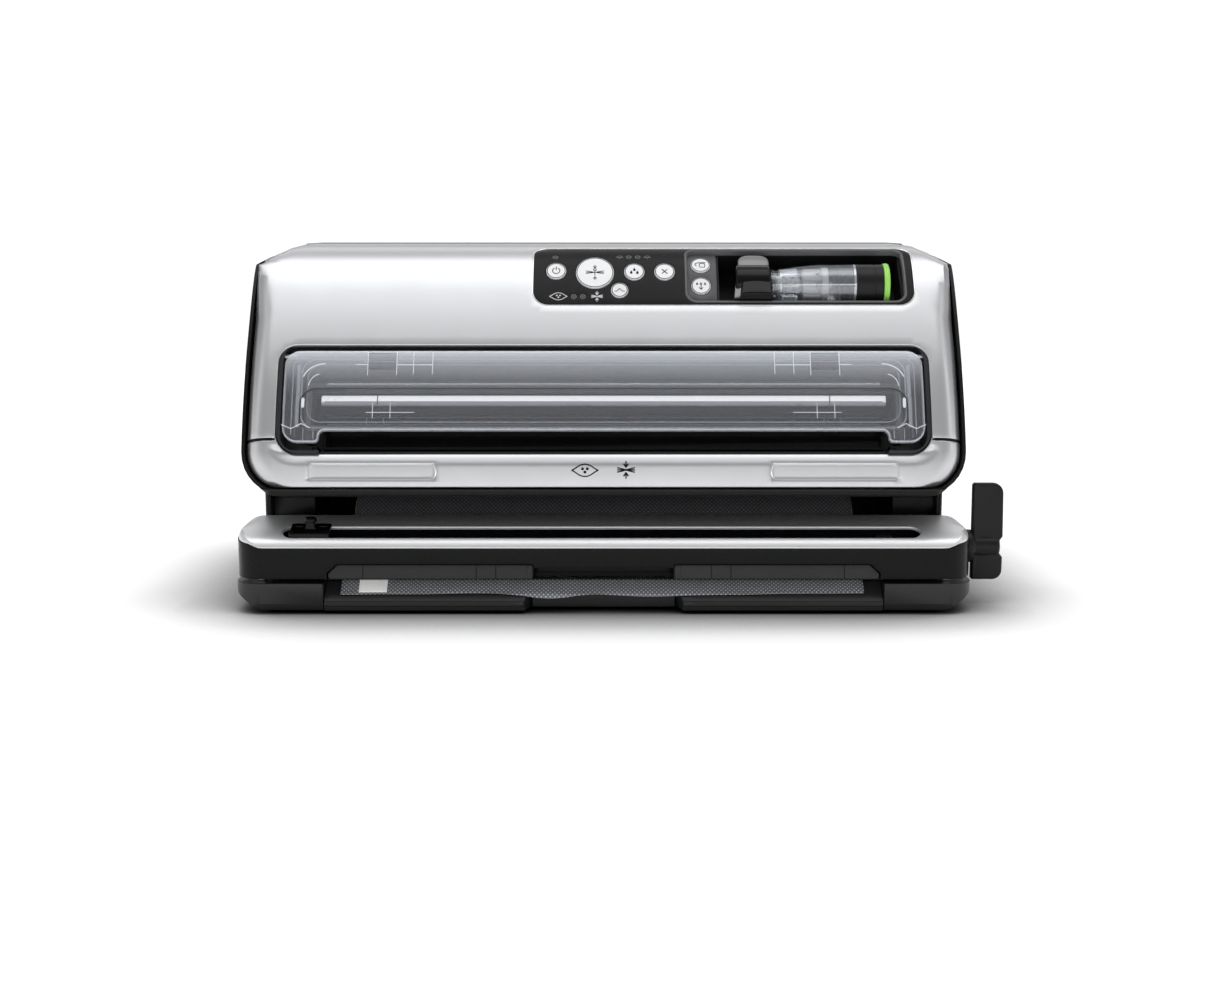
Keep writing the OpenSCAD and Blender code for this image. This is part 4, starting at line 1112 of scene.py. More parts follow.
me = skin(front, lid_outline(), [], R=1.1, thick=3.0, grid=(7.0, 4.0), steps=4, step=3.0)
lid = part("lid_skin", me, "clear", "lid", ("clear_lid",))
# painted highlight: faces within 1.15 mm of the lid's outline take the denser, brighter clear edge copy, so the rim
# reads bright
lid.data.materials.append(MAT["clear_edge"])
zmax = 2.2 / 1000
_lo = densify(lid_outline(), 3.0)
_cen = np.array([[(p.center.x * 1000) + LS, 0.0] for p in lid.data.polygons])
_sa = np.arange(20, 80, 0.25)
_pd2 = np.array([pt(float(s)) for s in _sa])
for i, p in enumerate(lid.data.polygons):
    d_, z_ = p.center.y * 1000 + YF, p.center.z * 1000
    _cen[i, 1] = _sa[int(np.argmin((_pd2[:, 0] - d_) ** 2 + (_pd2[:, 1] - z_) ** 2))]
_dd = dist_to(_cen, _lo)
for i, p in enumerate(lid.data.polygons):
    if _dd[i] < 1.15:
        p.material_index = 1
# moulded ribs under the lid: side rails, an inner line, hinge tabs near the top
ribs = []
for sg in (-1, 1):
    ribs.append(skin(lambda x, s, h=0.0: front(x, s, h - 2.95), rrect(sg * 165.5 - 1.0, sg * 165.5 + 1.0, 34, 70, 0.8, 3), [], R=0.2, thick=3.0, grid=(3, 4), steps=2, step=4))
    for x_ in (127.8, 112.1, 103.0, 92.7):
        ribs.append(ribbon(front, [(sg * x_, q_) for q_ in np.linspace(62.4, 75.6, 8)], 0.4, -0.05, 0.05))
ribs.append(ribbon(front, [(q_, 70.3) for q_ in np.linspace(-132, 132, 45)], 0.3, -0.05, 0.04))
ribs.append(skin(lambda x, s, h=0.0: front(x, s, h - 2.95), rrect(-150, 150, 57.7, 58.8, 0.5, 3), [], R=0.2, thick=2.6, grid=(6, 3), steps=2, step=6))
part("lid_ribs", ribs, "clear_edge", "lid", ("clear_lid",))
# painted highlights: glowing lines along the moulded hinge pockets, the step across the top and the corner brackets,
# and two painted glints on each leg; painted shade: a dark translucent slab on the pocket between two of them
ml = []
for sg in (-1, 1):
    for x_, a_, b_ in ((127.8, 62.5, 75.8), (112.1, 62.5, 75.8), (103.0, 63.5, 76.2), (92.7, 63.5, 76.2)):
        ml.append(ribbon(front, [(sg * x_, q_) for q_ in np.linspace(a_, b_, 8)], 0.42, -0.04, 0.1))
    for x_ in (124.4, 114.9):
        ml.append(ribbon(front, [(sg * x_, q_) for q_ in np.linspace(38.0, 46.5, 6)], 0.35, -0.04, 0.08))
    ml.append(ribbon(front, [(sg * q_, 41.2) for q_ in np.linspace(127.8, 102.0, 8)], 0.35, -0.04, 0.08))
    ml.append(ribbon(front, [(sg * 162.0, q_) for q_ in np.linspace(44.6, 48.6, 4)], 1.7, -0.04, 0.12))
    ml.append(ribbon(front, [(sg * x_, q_) for x_, q_ in ((173.0, 34.4), (168.0, 32.2), (162.4, 35.0), (158.0, 32.6))], 0.45, -0.04, 0.1))
    ml.append(ribbon(front, [(sg * q_, 68.4) for q_ in np.linspace(112.1, 92.7, 8)], 0.45, -0.04, 0.1))
    ml.append(ribbon(front, [(sg * q_, 68.6) for q_ in np.linspace(134.0, 127.8, 5)], 0.45, -0.04, 0.1))
    ml.append(ribbon(front, [(sg * (151.0 + 12.0 * math.cos(math.radians(q_))), 58.0 + 11.0 * math.sin(math.radians(q_))) for q_ in range(20, 100, 10)], 0.6, -0.04, 0.12))
    ml.append(ribbon(front, [(sg * (153.0 + 6.5 * math.cos(math.radians(q_))), 55.0 + 8.0 * math.sin(math.radians(q_))) for q_ in range(10, 85, 12)], 0.45, -0.04, 0.1))
part("lid_lines", ml, "clear_painted_highlight", "lid", smooth=None)
# painted shade: a dark translucent slab over each hinge pocket
dm = [slab(lambda a_, s, h=0.0: front(a_, s, h), rrect(min(sg * 112.5, sg * 127.4), max(sg * 112.5, sg * 127.4), 65.6, 75.6, 0.5, 2), 0, 0.05, 0.02, 2) for sg in (-1, 1)]
part("lid_pockets", dm, "clear_painted_shade", "lid")
# the dark outline of the lid's seal, seen through it
gl = []
gl.append(ribbon(front, [(float(q_), 55.6) for q_ in np.linspace(-155, 155, 50)], 0.6, -2.8, -2.5))
for sg in (-1, 1):
    gl.append(ribbon(front, [(sg * (155.0 + 9.0 * math.sin(math.radians(q_))), 46.6 + 9.0 * math.cos(math.radians(q_))) for q_ in range(0, 91, 10)] + [(sg * 164.0, 36.0)], 0.8, -2.8, -2.5))
part("lid_seal_outline", gl, "ink", "lid", smooth=None)
DONE.add("clear_lid")

# ------------------------------------------------------------------ seal bar and mouldings in the vacuum channel
bar_ = skin(lambda x, s, h=0.0: front(x, s, h - 7.4), rrect(-153.5, 153.5, 47.4, 53.4, 1.0, 4), [], R=0.9, thick=1.6, grid=(8, 2), steps=4, step=5)
part("seal_bar_skin", bar_, "bar", "upper_unit", ("seal_bar",))
# painted shade and painted glow on the seal bar: darker and dimmer towards its lower edge
_bz = [v.co.z for v in bpy.data.objects["seal_bar_skin"].data.vertices]
paint_shade_and_glow_by_height(MAT["bar"], min(_bz), max(_bz), [(0.0, 0.12), (0.3, 0.22), (0.52, 0.9), (0.7, 1.0), (1.0, 0.92)])
tape = skin(lambda x, s, h=0.0: front(x, s, h - 7.25), rrect(-151.5, 151.5, 48.6, 49.8, 0.4, 3), [], R=0.15, thick=0.5, grid=(8, 1), steps=2, step=6)
part("heating_strip_skin", tape, "bar2", "upper_unit", ("heating_strip",))
clips = []
for x in (-122.8, 122.8):
    clips.append(slab(lambda a_, s, h=0.0: front(a_, s, h - 7.3), rrect(x - 0.3, x + 0.3, 47.6, 53.2, 0.2, 2), 0, 0.15, 0.06, 2))
for sg in (-1, 1):
    clips.append(ribbon(lambda a_, s, h=0.0: front(a_, s, h - 12), [(sg * 168, 30), (sg * 168, 52), (sg * 164, 57), (sg * 157, 59.5)], 1.0, 0, 1.2))
    clips.append(ribbon(lambda a_, s, h=0.0: front(a_, s, h - 12), [(sg * 129, 34), (sg * 129, 43.5), (sg * 120, 43.5), (sg * 120, 34)], 0.5, 0, 0.6, True))
part("channel_mouldings", clips, "frost_line", "upper_unit", ())
lines = []
for s0_, w_ in ((56.9, 0.5), (58.6, 0.35), (61.9, 0.5), (41.5, 0.4), (37.5, 0.5)):
    lines.append(ribbon(lambda a_, s, h=0.0: front(a_, s, h - 9.5 if s0_ > 50 else h - 12), [(x, s0_) for x in np.linspace(-150, 150, 24)], w_, 0, 0.5))
part("channel_lines", lines, "frost_line", "upper_unit", ())
DONE.update(("seal_bar", "heating_strip"))
# dark gasket lips that turn the corner beside the bar, and dark hinge blocks behind the lid's upper edge
gl = []
for sg in (-1, 1):
    gl.append(ribbon(lambda a_, s, h=0.0: front(a_, s, h - 5.0), [(sg * 162.3, 31.5), (sg * 162.3, 49.5), (sg * 161.4, 52.4), (sg * 159.4, 54.2), (sg * 156.5, 54.9), (sg * 140, 55.1)], 0.9, 0, 0.6))
    gl.append(slab(lambda a_, s, h=0.0: front(a_, s, h - 6.5), rrect(sg * 120.0 - 7.4, sg * 120.0 + 7.4, 69.2, 75.6, 0.6, 3), 0, 1.0, 0.3, 2))
part("channel_gasket_lips", gl, "ink", "upper_unit")
lm = []
# rounded inner frame moulded into the lid, and its corner brackets
for g_, w_ in ((0, 0.7), (3.2, 0.45)):
    lm.append(ribbon(front, densify(rrect(-163.5 + g_, 163.5 - g_, 33.4 + g_, 73.0 - g_, 7.5, 7), 8.0), w_, -3.6, -3.1, True))
for sg in (-1, 1):
    lm.append(ribbon(front, [(sg * 168.6, 30.0), (sg * 168.6, 68.0)] + [(sg * (162.6 + 6 * math.cos(math.radians(a_))), 68.0 + 6 * math.sin(math.radians(a_))) for a_ in (20, 45, 70, 90)], 0.5, -3.6, -3.1))
    lm.append(ribbon(front, [(sg * 156.5, 27.5), (sg * 156.5, 33.0)], 0.6, -3.6, -3.1))
    lm.append(ribbon(front, [(sg * 162.0, 26.6), (sg * 162.0, 33.0)], 0.4, -3.6, -3.1))
part("lid_mouldings", lm, "clear_edge", "lid")

# ------------------------------------------------------------------ clamp bar's silver cover
COVER = [(0.2, 36.6), (1.4, 38.8), (3.2, 40.6), (5.5, 41.9), (9, 43.4), (13, 44.8), (18, 46.1), (24, 47.2), (31, 48), (38, 48.4)]
_cd = np.linspace(0.2, 38, 380)
_cz = np.interp(_cd, [q[0] for q in COVER], [q[1] for q in COVER])
kk = np.hanning(31)
kk /= kk.sum()
_e = np.concatenate([2 * _cz[0] - _cz[15:0:-1], _cz, 2 * _cz[-1] - _cz[-2:-17:-1]])
_cz = np.convolve(_e, kk, mode="valid")
CH, CR = 198.4, 14.5


def smin(a, b, k=1.5):
    h = max(k - abs(a - b), 0.0) / k
    return min(a, b) - h * h * k / 4


def plan_dist(x, d):
    """distance inside the cover's plan outline, and 0 on the front to 1 on a side"""
    ex = CH - abs(x)
    if ex < CR and d < 0.2 + CR:
        a_, b_ = CR - ex, 0.2 + CR - d
        return max(0.0, CR - math.hypot(a_, b_)), math.atan2(a_, b_) / (math.pi / 2)
    if d >= 0.2 + CR and ex < CR + 6:
        return max(0.0, ex), 1.0
    return d - 0.2, 0.0


def cover_z(x, d):
    """height of the cover: it falls away to the front edge, and is rounded over at both ends"""
    D, q = plan_dist(x, d)
    zf = float(np.interp(max(0.2, d), _cd, _cz))
    if CH - abs(x) > 30:
        return zf
    e0 = 3.5 * q ** 2.2
    q = smooth01(q)
    k = 1 - min(1.0, D / (13.0 - 3.0 * q))
    ze = 36.6 + e0 + (12.5 - 4.0 * q) * math.sqrt(max(0.0, 1 - k * k))
    return smin(zf, ze, 0.9)


def cover_s(x, d, h=0.0):
    if h == 0.0:
        return W(x, d, cover_z(x, d))
    g = 0.25
    zx = (cover_z(x + g, d) - cover_z(x - g, d)) / (2 * g)
    zd = (cover_z(x, d + g) - cover_z(x, d - g)) / (2 * g)
    n_ = Vector((-zx, -zd, 1)).normalized()
    return W(x + h * n_.x, d + h * n_.y, cover_z(x, d) + h * n_.z)


def plan_loop(half, d0, d1, rf, rr, nf=16, nr=8):
    pts = []
    for cx, cy, r_, a0, n_ in ((half - rf, d0 + rf, rf, 270, nf), (half - rr, d1 - rr, rr, 0, nr), (-half + rr, d1 - rr, rr, 90, nr), (-half + rf, d0 + rf, rf, 180, nf)):
        for i in range(n_ + 1):
            t_ = math.radians(a0 + 90 * i / n_)
            pts.append((cx + r_ * math.cos(t_), cy + r_ * math.sin(t_)))
    return pts


def stadium(x0, x1, d0, d1, n=10):
    r_ = (d1 - d0) / 2
    m_ = (d0 + d1) / 2
    return [(x1 - r_ + r_ * math.cos(math.radians(-90 + 180 * i / n)), m_ + r_ * math.sin(math.radians(-90 + 180 * i / n))) for i in range(n + 1)] + \
           [(x0 + r_ + r_ * math.cos(math.radians(90 + 180 * i / n)), m_ + r_ * math.sin(math.radians(90 + 180 * i / n))) for i in range(n + 1)]


extra = []
for g in (1.3, 2.4, 3.8):
    extra.append([tuple(q) for q in densify(plan_loop(CH - g, 0.2 + g, 38 - 0.9, CR - g * 0.96, 11.5 - g * 0.5), 4.0)])
for g in (0.9,):
    extra.append([tuple(q) for q in densify(stadium(-173.6 - 1.2, 171.5 + 1.2, 3.8, 17.2, 14), 4.0)])
me = skin(cover_s, plan_loop(CH, 0.2, 38, CR, 12), [stadium(-173.6, 171.5, 4.9, 16, 14), rrect(189.2, 192.6, 30.2, 32.0, 0.3, 2)],
          R=0.45, Rh=lambda q: 0.8 if q[0] < 180 else 0.15, thick=1.8, grid=(5.0, 1.7), steps=4, step=2.5, extra=extra)
part("cover_skin", me, "silver_cover_painted_light", "clamp_bar", ("clamp_cover",))
DONE.add("clamp_cover")
# painted highlight: a bright bevel line in a lighter silver along both long sides of the slot
for nm, dd in (("slot_edge_front", 4.3), ("slot_edge_back", 16.6)):
    me = ribbon(cover_s, [(x, dd) for x in np.linspace(-166, 165.5, 60)], 0.55, -0.05, 0.06)
    part(nm, me, "silver_painted_highlight", "clamp_bar")

# ------------------------------------------------------------------ clamp bar's black housing
HH, HR = 198.8, 15.0
wall_pts = [(-HH, 36.0), (-HH, 0 + HR)]
wall_pts += [(-HH + HR + HR * math.cos(math.radians(180 + 90 * i / 20)), HR + HR * math.sin(math.radians(180 + 90 * i / 20))) for i in range(1, 21)]
wall_pts += [(HH - HR + HR * math.cos(math.radians(270 + 90 * i / 20)), HR + HR * math.sin(math.radians(270 + 90 * i / 20))) for i in range(0, 21)]
wall_pts += [(HH, 36.0)]
wu = [0.0]
for (x0, d0), (x1, d1) in zip(wall_pts, wall_pts[1:]):
    wu.append(wu[-1] + math.hypot(x1 - x0, d1 - d0))
UMID = wu[-1] / 2
wu = [u - UMID for u in wu]
wx, wd = [q[0] for q in wall_pts], [q[1] for q in wall_pts]


def wall_dir(u):
    """outward direction of the wall in plan"""
    straight = HH - HR
    m_ = abs(u)
    if m_ <= straight:
        a_ = 0.0
    else:
        a_ = min(math.pi / 2, (m_ - straight) / HR)
    return math.copysign(math.sin(a_), u), -math.cos(a_)


def wall(u, z, h=0.0):
    nx_, nd_ = wall_dir(u)
    return W(float(np.interp(u, wu, wx)) + h * nx_, float(np.interp(u, wu, wd)) + h * nd_, z)


def wall_top(u):
    x, d = float(np.interp(u, wu, wx)), float(np.interp(u, wu, wd))
    nx_, nd_ = wall_dir(u)
    return cover_z(x - 0.5 * nx_ * 1.0, max(0.25, d - 0.5 * nd_)) - 0.75


top_line = [(float(u), wall_top(u)) for u in np.linspace(wu[-1], wu[0], 150)]
out = [(float(u), 19.4) for u in np.linspace(wu[0], wu[-1], 60)] + top_line
hl = [(-148.9, 19.9), (-37.8, 19.9), (-37.8, 27.7), (-143.6, 27.7), (-148.9, 22.8)]
hr = [(37.8, 19.9), (148.9, 19.9), (148.9, 22.8), (143.6, 27.7), (37.8, 27.7)]
hm = [(-37.3, 19.9), (37.3, 19.9), (37.3, 25.5), (-37.3, 25.5)]
hole = [(-148.9, 19.8), (148.9, 19.8), (148.9, 22.8), (143.6, 27.7), (37.9, 27.7), (37.4, 25.6), (-37.4, 25.6), (-37.9, 27.7), (-143.6, 27.7), (-148.9, 22.8)]
me = skin(wall, out, [hole], R=0.55, Rh=0.3, thick=3.5, grid=(5.0, 2.4), steps=3, step=3.0)
wl_ = [me]
# dark back wall of the pull notch, and the closed underside
wl_.append(sec([(8.6, 19.6), (8.6, 26.4), (10.4, 26.4), (10.4, 19.6)], -38.5, 38.5) if False else slab(lambda x, z, h=0.0: W(x, 9.0 - h, z), [(-38.4, 19.5), (38.4, 19.5), (38.4, 27.4), (-38.4, 27.4)], -1.4, 0, 0.3, 2))
wl_.append(slab(lambda x, z, h=0.0: W(x, 3.9 - h, z), [(37.5, 19.5), (149, 19.5), (149, 28.4), (37.5, 28.4)], -1.2, 0, 0.2, 2))
wl_.append(slab(lambda x, z, h=0.0: W(x, 3.9 - h, z), [(-149, 19.5), (-37.5, 19.5), (-37.5, 28.4), (-149, 28.4)], -1.2, 0, 0.2, 2))
# roof of the notch
wl_.append(slab(lambda x, d, h=0.0: W(x, d, 25.7 + h), [(-38.2, 3.2), (38.2, 3.2), (38.2, 9.2), (-38.2, 9.2)], 0, 1.4, 0.2, 2))
# sides of the notch
for sg in (-1, 1):
    wl_.append(slab(lambda d, z, h=0.0: W(sg * (37.5 + h), d, z), [(3.4, 19.5), (9.2, 19.5), (9.2, 26.6), (3.4, 26.6)], 0, 1.2, 0.2, 2))
# floor, back and ends of the bar, with its pad groove left open
wl_.append(slab(lambda x, d, h=0.0: W(x, d, 19.45 + h), rrect(-195.0, 195.0, 10.0, 25.8, 1.0, 2), 0, 1.5, 0.2, 2))
wl_.append(slab(lambda x, d, h=0.0: W(x, d, 19.45 + h), rrect(-195.0, 195.0, 33.2, 37.9, 1.0, 2), 0, 1.5, 0.2, 2))
wl_.append(slab(lambda x, z, h=0.0: W(x, 35.0 + h, z), [(-186, 19.5), (186, 19.5), (186, 45.2), (-186, 45.2)], 0, 2.6, 0.5, 3))
part("housing_skin", wl_, "base", "clamp_bar", ("clamp_housing",), smooth=30)
DONE.add("clamp_housing")

# ------------------------------------------------------------------ cutter slider
sx = -159.0


def flat(zf):
    """plan surface at height zf(x, d)"""
    return lambda x, d, h=0.0: W(x, d, zf(x, d) + h)


def shelf_z(x, d):
    return float(np.interp(d, [5.2, 12.0, 19.4], [43.4, 45.2, 47.0]))


g = [slab(flat(lambda x, d: 33.0), rrect(sx - 10.9, sx + 10.9, 5.6, 15.1, 2.0, 5), 0, 10.0, 0.8, 3)]
shelf = rrect(sx - 10.9, sx + 10.9, 5.3, 19.3, 1.6, 5)
g.append(skin(lambda x, d, h=0.0: W(x, d, shelf_z(x, d) + h), shelf, [], R=0.55, thick=1.7, grid=(3, 3), steps=3, step=2))
g.append(ribbon(lambda x, d, h=0.0: W(x, d, shelf_z(x, d) + h), [(sx - 9.2, 8.2), (sx - 9.2, 14.6), (sx - 4.6, 14.6), (sx - 3.6, 16.5)], 0.8, -0.1, 0.35))
g.append(ribbon(lambda x, d, h=0.0: W(x, d, shelf_z(x, d) + h), [(sx + 9.2, 8.2), (sx + 9.2, 14.6), (sx + 4.6, 14.6), (sx + 3.6, 16.5)], 0.8, -0.1, 0.35))


def knob_frame(a, b, h):
    return W(sx + a, 13.5 + b, h)


stem = [(-3.4, 44.6), (3.4, 44.6), (2.3, 46.2), (1.9, 48.4), (2.6, 49.1), (-2.6, 49.1), (-1.9, 48.4), (-2.3, 46.2)]
g.append(slab(lambda x, z, h=0.0: W(sx + x, 12.0 - h, z), stem, -4.2, 0.6, 0.35, 3))
g.append(revolve(round_profile([(0, 48.4), (3.2, 48.5), (3.3, 49.8), (2.9, 51.0), (1.6, 51.4), (0, 51.4)], 0.5, 4), knob_frame, 40))
part("slider_skin", g, "gloss", "cutter", ("cutter_slider",))
DONE.add("cutter_slider")

# ------------------------------------------------------------------ grips on the clamp bar's face
for sg, nm in ((-1, "left"), (1, "right")):
    def gs(x, z, h=0.0):
        # the face leans back a little towards its top
        return W(sg * x, 0.3 + (z - 19.5) * 0.14 - h, z)
    out = [(38.1, 19.6), (146.8, 19.6), (148.2, 20.4), (148.2, 22.5), (143.2, 27.2), (38.1, 27.2)]
    seams = []
    gm = [skin(gs, out if sg > 0 else out, [], R=0.35, thick=2.6, grid=(6, 2), steps=3, step=3)]
    # fine seams and end steps
    for xx in (129.5, 68.5, 58.0):
        seams.append(ribbon(gs, [(xx, 20.0), (xx, 26.9)], 0.5, -0.02, 0.1))
    gm.append(slab(gs, [(38.4, 21.2), (41.4, 21.2), (41.4, 26.8), (38.4, 26.8)], 0, 0.5, 0.2, 2))
    part("grip_" + nm, gm, "grip", "clamp_bar", ("grip_inserts",))
    part("grip_seams_" + nm, seams, "ink", "clamp_bar", smooth=None)
DONE.add("grip_inserts")

# ------------------------------------------------------------------ sill and film at the front
def sec(pts, x0, x1, ends=0.0, step=8.0):
    """a bar along X with outline pts (d, z), its ends drawn in by a little to round them"""
    xs = [x0, x0 + ends * 0.3, x0 + ends] + list(np.arange(x0 + ends + step, x1 - ends - 1, step)) + [x1 - ends, x1 - ends * 0.3, x1]
    c = np.array(pts).mean(0)
    verts, faces, m_ = [], [], len(pts)
    for i, x in enumerate(xs):
        k = 1.0
        if ends and i in (0, len(xs) - 1):
            k = 0.9
        elif ends and i in (1, len(xs) - 2):
            k = 0.97
        for (d, z) in pts:
            verts.append(W(x, c[0] + (d - c[0]) * k, c[1] + (z - c[1]) * k))
    for i in range(len(xs) - 1):
        for j in range(m_):
            j2 = (j + 1) % m_
            faces.append((i * m_ + j, i * m_ + j2, (i + 1) * m_ + j2, (i + 1) * m_ + j))
    faces.append(tuple(range(m_)))
    faces.append(tuple(range(len(xs) * m_ - 1, (len(xs) - 1) * m_ - 1, -1)))
    return fix_normals(mesh_from("bar", verts, faces))


face = [(1.5, 2.05), (0.75, 3.2), (0.3, 4.5), (0.25, 4.5), (1.1, 4.65), (1.1, 5.25), (0.25, 5.4), (0.2, 6.5), (0.45, 6.95), (1.2, 7.2), (1.25, 8.4), (10.5, 16.25), (15.8, 16.25), (15.8, 2.05)]
gs_ = []
for sg in (-1, 1):
    bar = sec(face, 43.4, 150.8, 0.6)
    for v in bar.vertices:
        if sg < 0:
            pass
        x = (v.co.x * 1000) + LS
        d = v.co.y * 1000 + YF
        # the inner end slopes back to the finger notch
        if x < 44.8:
            x -= max(0.0, min(1.0, (d - 0.2) / 9)) * 5.4
        v.co.x = (sg * x - LS) / 1000
    gs_.append(fix_normals(bar))
notch = [(10.4, 2.05), (9.3, 2.6), (9.1, 4.0), (9.1, 14.6), (10.5, 16.25), (15.8, 16.25), (15.8, 2.05)]
gs_.append(sec(notch, -38.6, 38.6))
part("sill_skin", gs_, "pan", "base", ("slot_sill",), smooth=28)
DONE.add("slot_sill")

FPROF = [(72, 8.95), (47.2, 9.1), (36.9, 17.34), (10.7, 17.24), (7.0, 14.4), (4.3, 12.1), (3.6, 11.4)]
fa = [0.0]
for (d0, z0), (d1, z1) in zip(FPROF, FPROF[1:]):
    fa.append(fa[-1] + math.hypot(d1 - d0, z1 - z0))


def end_len(x):
    """how far the free end hangs past the sill's lip: a shallow uneven wave, longest near the middle"""
    return 0.7 + 2.6 * math.exp(-((x + 27) / 16.0) ** 2) + 1.1 * math.exp(-((x - 33) / 20.0) ** 2) + 0.5 * math.sin(x / 9.0) * math.exp(-(x / 60.0) ** 2) + 0.25 * math.sin(x / 31.0)


nx = 180
rows = list(np.linspace(0, fa[-1], 46))
verts, uvs = [], []
for k, a in enumerate(rows):
    for i in range(nx + 1):
        x = -142.2 + 283.0 * i / nx
        d, z = float(np.interp(a, fa, [q[0] for q in FPROF])), float(np.interp(a, fa, [q[1] for q in FPROF]))
        lift = 0.35 * math.sin(x / 17.0) * smooth01((12 - d) / 9.0) + 0.25 * math.sin(x / 6.3 + 1) * smooth01((6 - d) / 4.0)
        verts.append((x, d + 0.1, z + 0.25 * lift + 0.15))
        uvs.append((x / 1000, a / 1000))
for m_ in range(1, 7):
    for i in range(nx + 1):
        x = -142.2 + 283.0 * i / nx
        L = end_len(x) * m_ / 6
        d = 1.05 - 0.45 * min(1, L / 1.5) + 0.25 * math.sin(x / 7.0) * m_ / 6
        verts.append((x, max(0.35, 2.5 + d - 0.55 * L), 11.55 - 0.95 * L))
        uvs.append((x / 1000, (fa[-1] + L) / 1000))
nr = len(rows) + 6
faces = [(k * (nx + 1) + i, k * (nx + 1) + i + 1, (k + 1) * (nx + 1) + i + 1, (k + 1) * (nx + 1) + i) for k in range(nr - 1) for i in range(nx)]
fm = mesh_from("film", [W(*v) for v in verts], faces, uvs)
film = part("film_end", fm, "film", "base", ("film_sheet",), smooth=60)
sol = film.modifiers.new("thick", "SOLIDIFY")
sol.thickness, sol.offset = 0.00022, 0
DONE.add("film_sheet")
lab = []
for x0, x1 in ((-132.4, -117.2),):
    v_, f_ = [], []
    for k, a in enumerate(np.linspace(fa[-1] - 8.6, fa[-1] + 0.0, 12)):
        for i in range(9):
            x = x0 + (x1 - x0) * i / 8
            d, z = float(np.interp(a, fa, [q[0] for q in FPROF])), float(np.interp(a, fa, [q[1] for q in FPROF]))
            lift = 0.35 * math.sin(x / 17.0) * smooth01((12 - d) / 9.0) + 0.25 * math.sin(x / 6.3 + 1) * smooth01((6 - d) / 4.0)
            v_.append(W(x, d - 0.1, z + 0.25 * lift + 0.42))
    f_ = [(k * 9 + i, k * 9 + i + 1, (k + 1) * 9 + i + 1, (k + 1) * 9 + i) for k in range(11) for i in range(8)]
    lab.append(mesh_from("label", v_, f_))
lb = part("film_label", lab, "label", "base", smooth=60)
sol = lb.modifiers.new("thick", "SOLIDIFY")
sol.thickness, sol.offset = 0.00012, 0

# ------------------------------------------------------------------ film roll and core
def roll_frame(a, b, h):
    return W(h, 77 + a, 36 + b)


v_, f_, u_ = [], [], []
prof = [(17.2, -139.9), (25.4, -140.0), (25.85, -139.6), (26.0, -139.0)] + [(26.0, x) for x in np.linspace(-130, 130, 28)] + [(26.0, 139.0), (25.85, 139.6), (25.4, 140.0), (17.2, 139.9)]
NS = 96
for (r_, h_) in prof:
    for i in range(NS + 1):
        an = 2 * math.pi * i / NS
        rr_ = r_ + (0.12 * math.sin(3 * an + h_ / 40) if r_ > 25 else 0)
        v_.append(roll_frame(rr_ * math.cos(an), rr_ * math.sin(an), h_))
        u_.append((h_ / 1000, 26 * an / 1000 + (0 if r_ > 25 else r_ / 1000)))
for k in range(len(prof) - 1):
    for i in range(NS):
        f_.append((k * (NS + 1) + i, k * (NS + 1) + i + 1, (k + 1) * (NS + 1) + i + 1, (k + 1) * (NS + 1) + i))
rm = mesh_from("roll", v_, f_, u_)
# the layers of the wound film, seen on its ends
lay = []
for sg in (-1, 1):
    for r_ in np.arange(18.2, 25.6, 0.9):
        lay.append(revolve([(r_, sg * 139.9), (r_ + 0.3, sg * 140.0), (r_ + 0.6, sg * 139.9), (r_ + 0.3, sg * 139.6), (r_, sg * 139.9)], roll_frame, 72))
part("roll_skin", rm, "film_roll", "bag_roll", ("film_roll",), smooth=40)
part("roll_layers", lay, "film_roll", "bag_roll", smooth=40)
DONE.add("film_roll")

# ------------------------------------------------------------------ handheld sealer
da, dz = pt(107.6), pt(146.6)
dmid = ((da[0] + dz[0]) / 2, (da[1] + dz[1]) / 2)
dtilt = math.atan2(dz[1] - da[1], dz[0] - da[0])
HV, HW = -3.5, -4.5


def dock(x, v, w):
    """dock frame: v up the pocket, w straight out of it"""
    return W(x, dmid[0] + v * math.cos(dtilt) - w * math.sin(dtilt), dmid[1] + v * math.sin(dtilt) + w * math.cos(dtilt))


def hand(a, b, h):
    return dock(h, HV + a, HW + b)


hd = []
# an arch with a flared foot, satin on its face; a glossy bowl is set in its lower part
arch = [(71.2, HV - 15.2), (92.6, HV - 15.2), (92.8, HV + 8.0)] + arc_pts(87.2, HV + 11.6, 5.6, 0, 90, 7) + arc_pts(79.8, HV + 11.6, 5.6, 90, 176, 7) + [(74.0, HV + 5.6), (73.4, HV + 1.0), (72.2, HV - 6.0)]


def arch_face(x, v, h=0.0):
    """the arch is rounded across like part of a tube and leans back at its top"""
    u = (x - 83.4) / 9.6
    return dock(x, v, h + 1.5 * math.sqrt(max(0.0, 1 - u * u)) - 1.6 * max(0.0, (v - HV - 10.0) / 7.0) ** 2)


hd.append(skin(lambda x, v, h=0.0: arch_face(x, v, HW + 6.2 + h), arch, [], R=1.2, thick=15, grid=(1.6, 2.4), steps=4, step=1.6, back=lambda u, v: -16))
sat = [(72.0, HV - 14.6), (76.4, HV - 14.6), (77.2, HV + 2.0), (79.0, HV + 5.4), (91.9, HV + 5.6), (92.0, HV + 8.0)] + arc_pts(86.9, HV + 11.4, 5.1, 0, 90, 7) + arc_pts(80.1, HV + 11.4, 5.1, 90, 176, 7) + [(74.6, HV + 5.6), (74.0, HV + 1.0), (72.9, HV - 6.0)]
part("head_band", skin(lambda x, v, h=0.0: arch_face(x, v, HW + 6.6 + h), sat, [], R=0.4, thick=1.0, grid=(1.4, 2.0), steps=2, step=1.4), "satin", "handheld", ("handheld_head",), smooth=40)
hd.append(revolve(round_profile([(0, 73.0), (10.4, 73.0), (11.4, 74.0), (11.4, 91.4), (10.2, 92.6), (0, 92.6)], 0.8, 4), hand, 56))
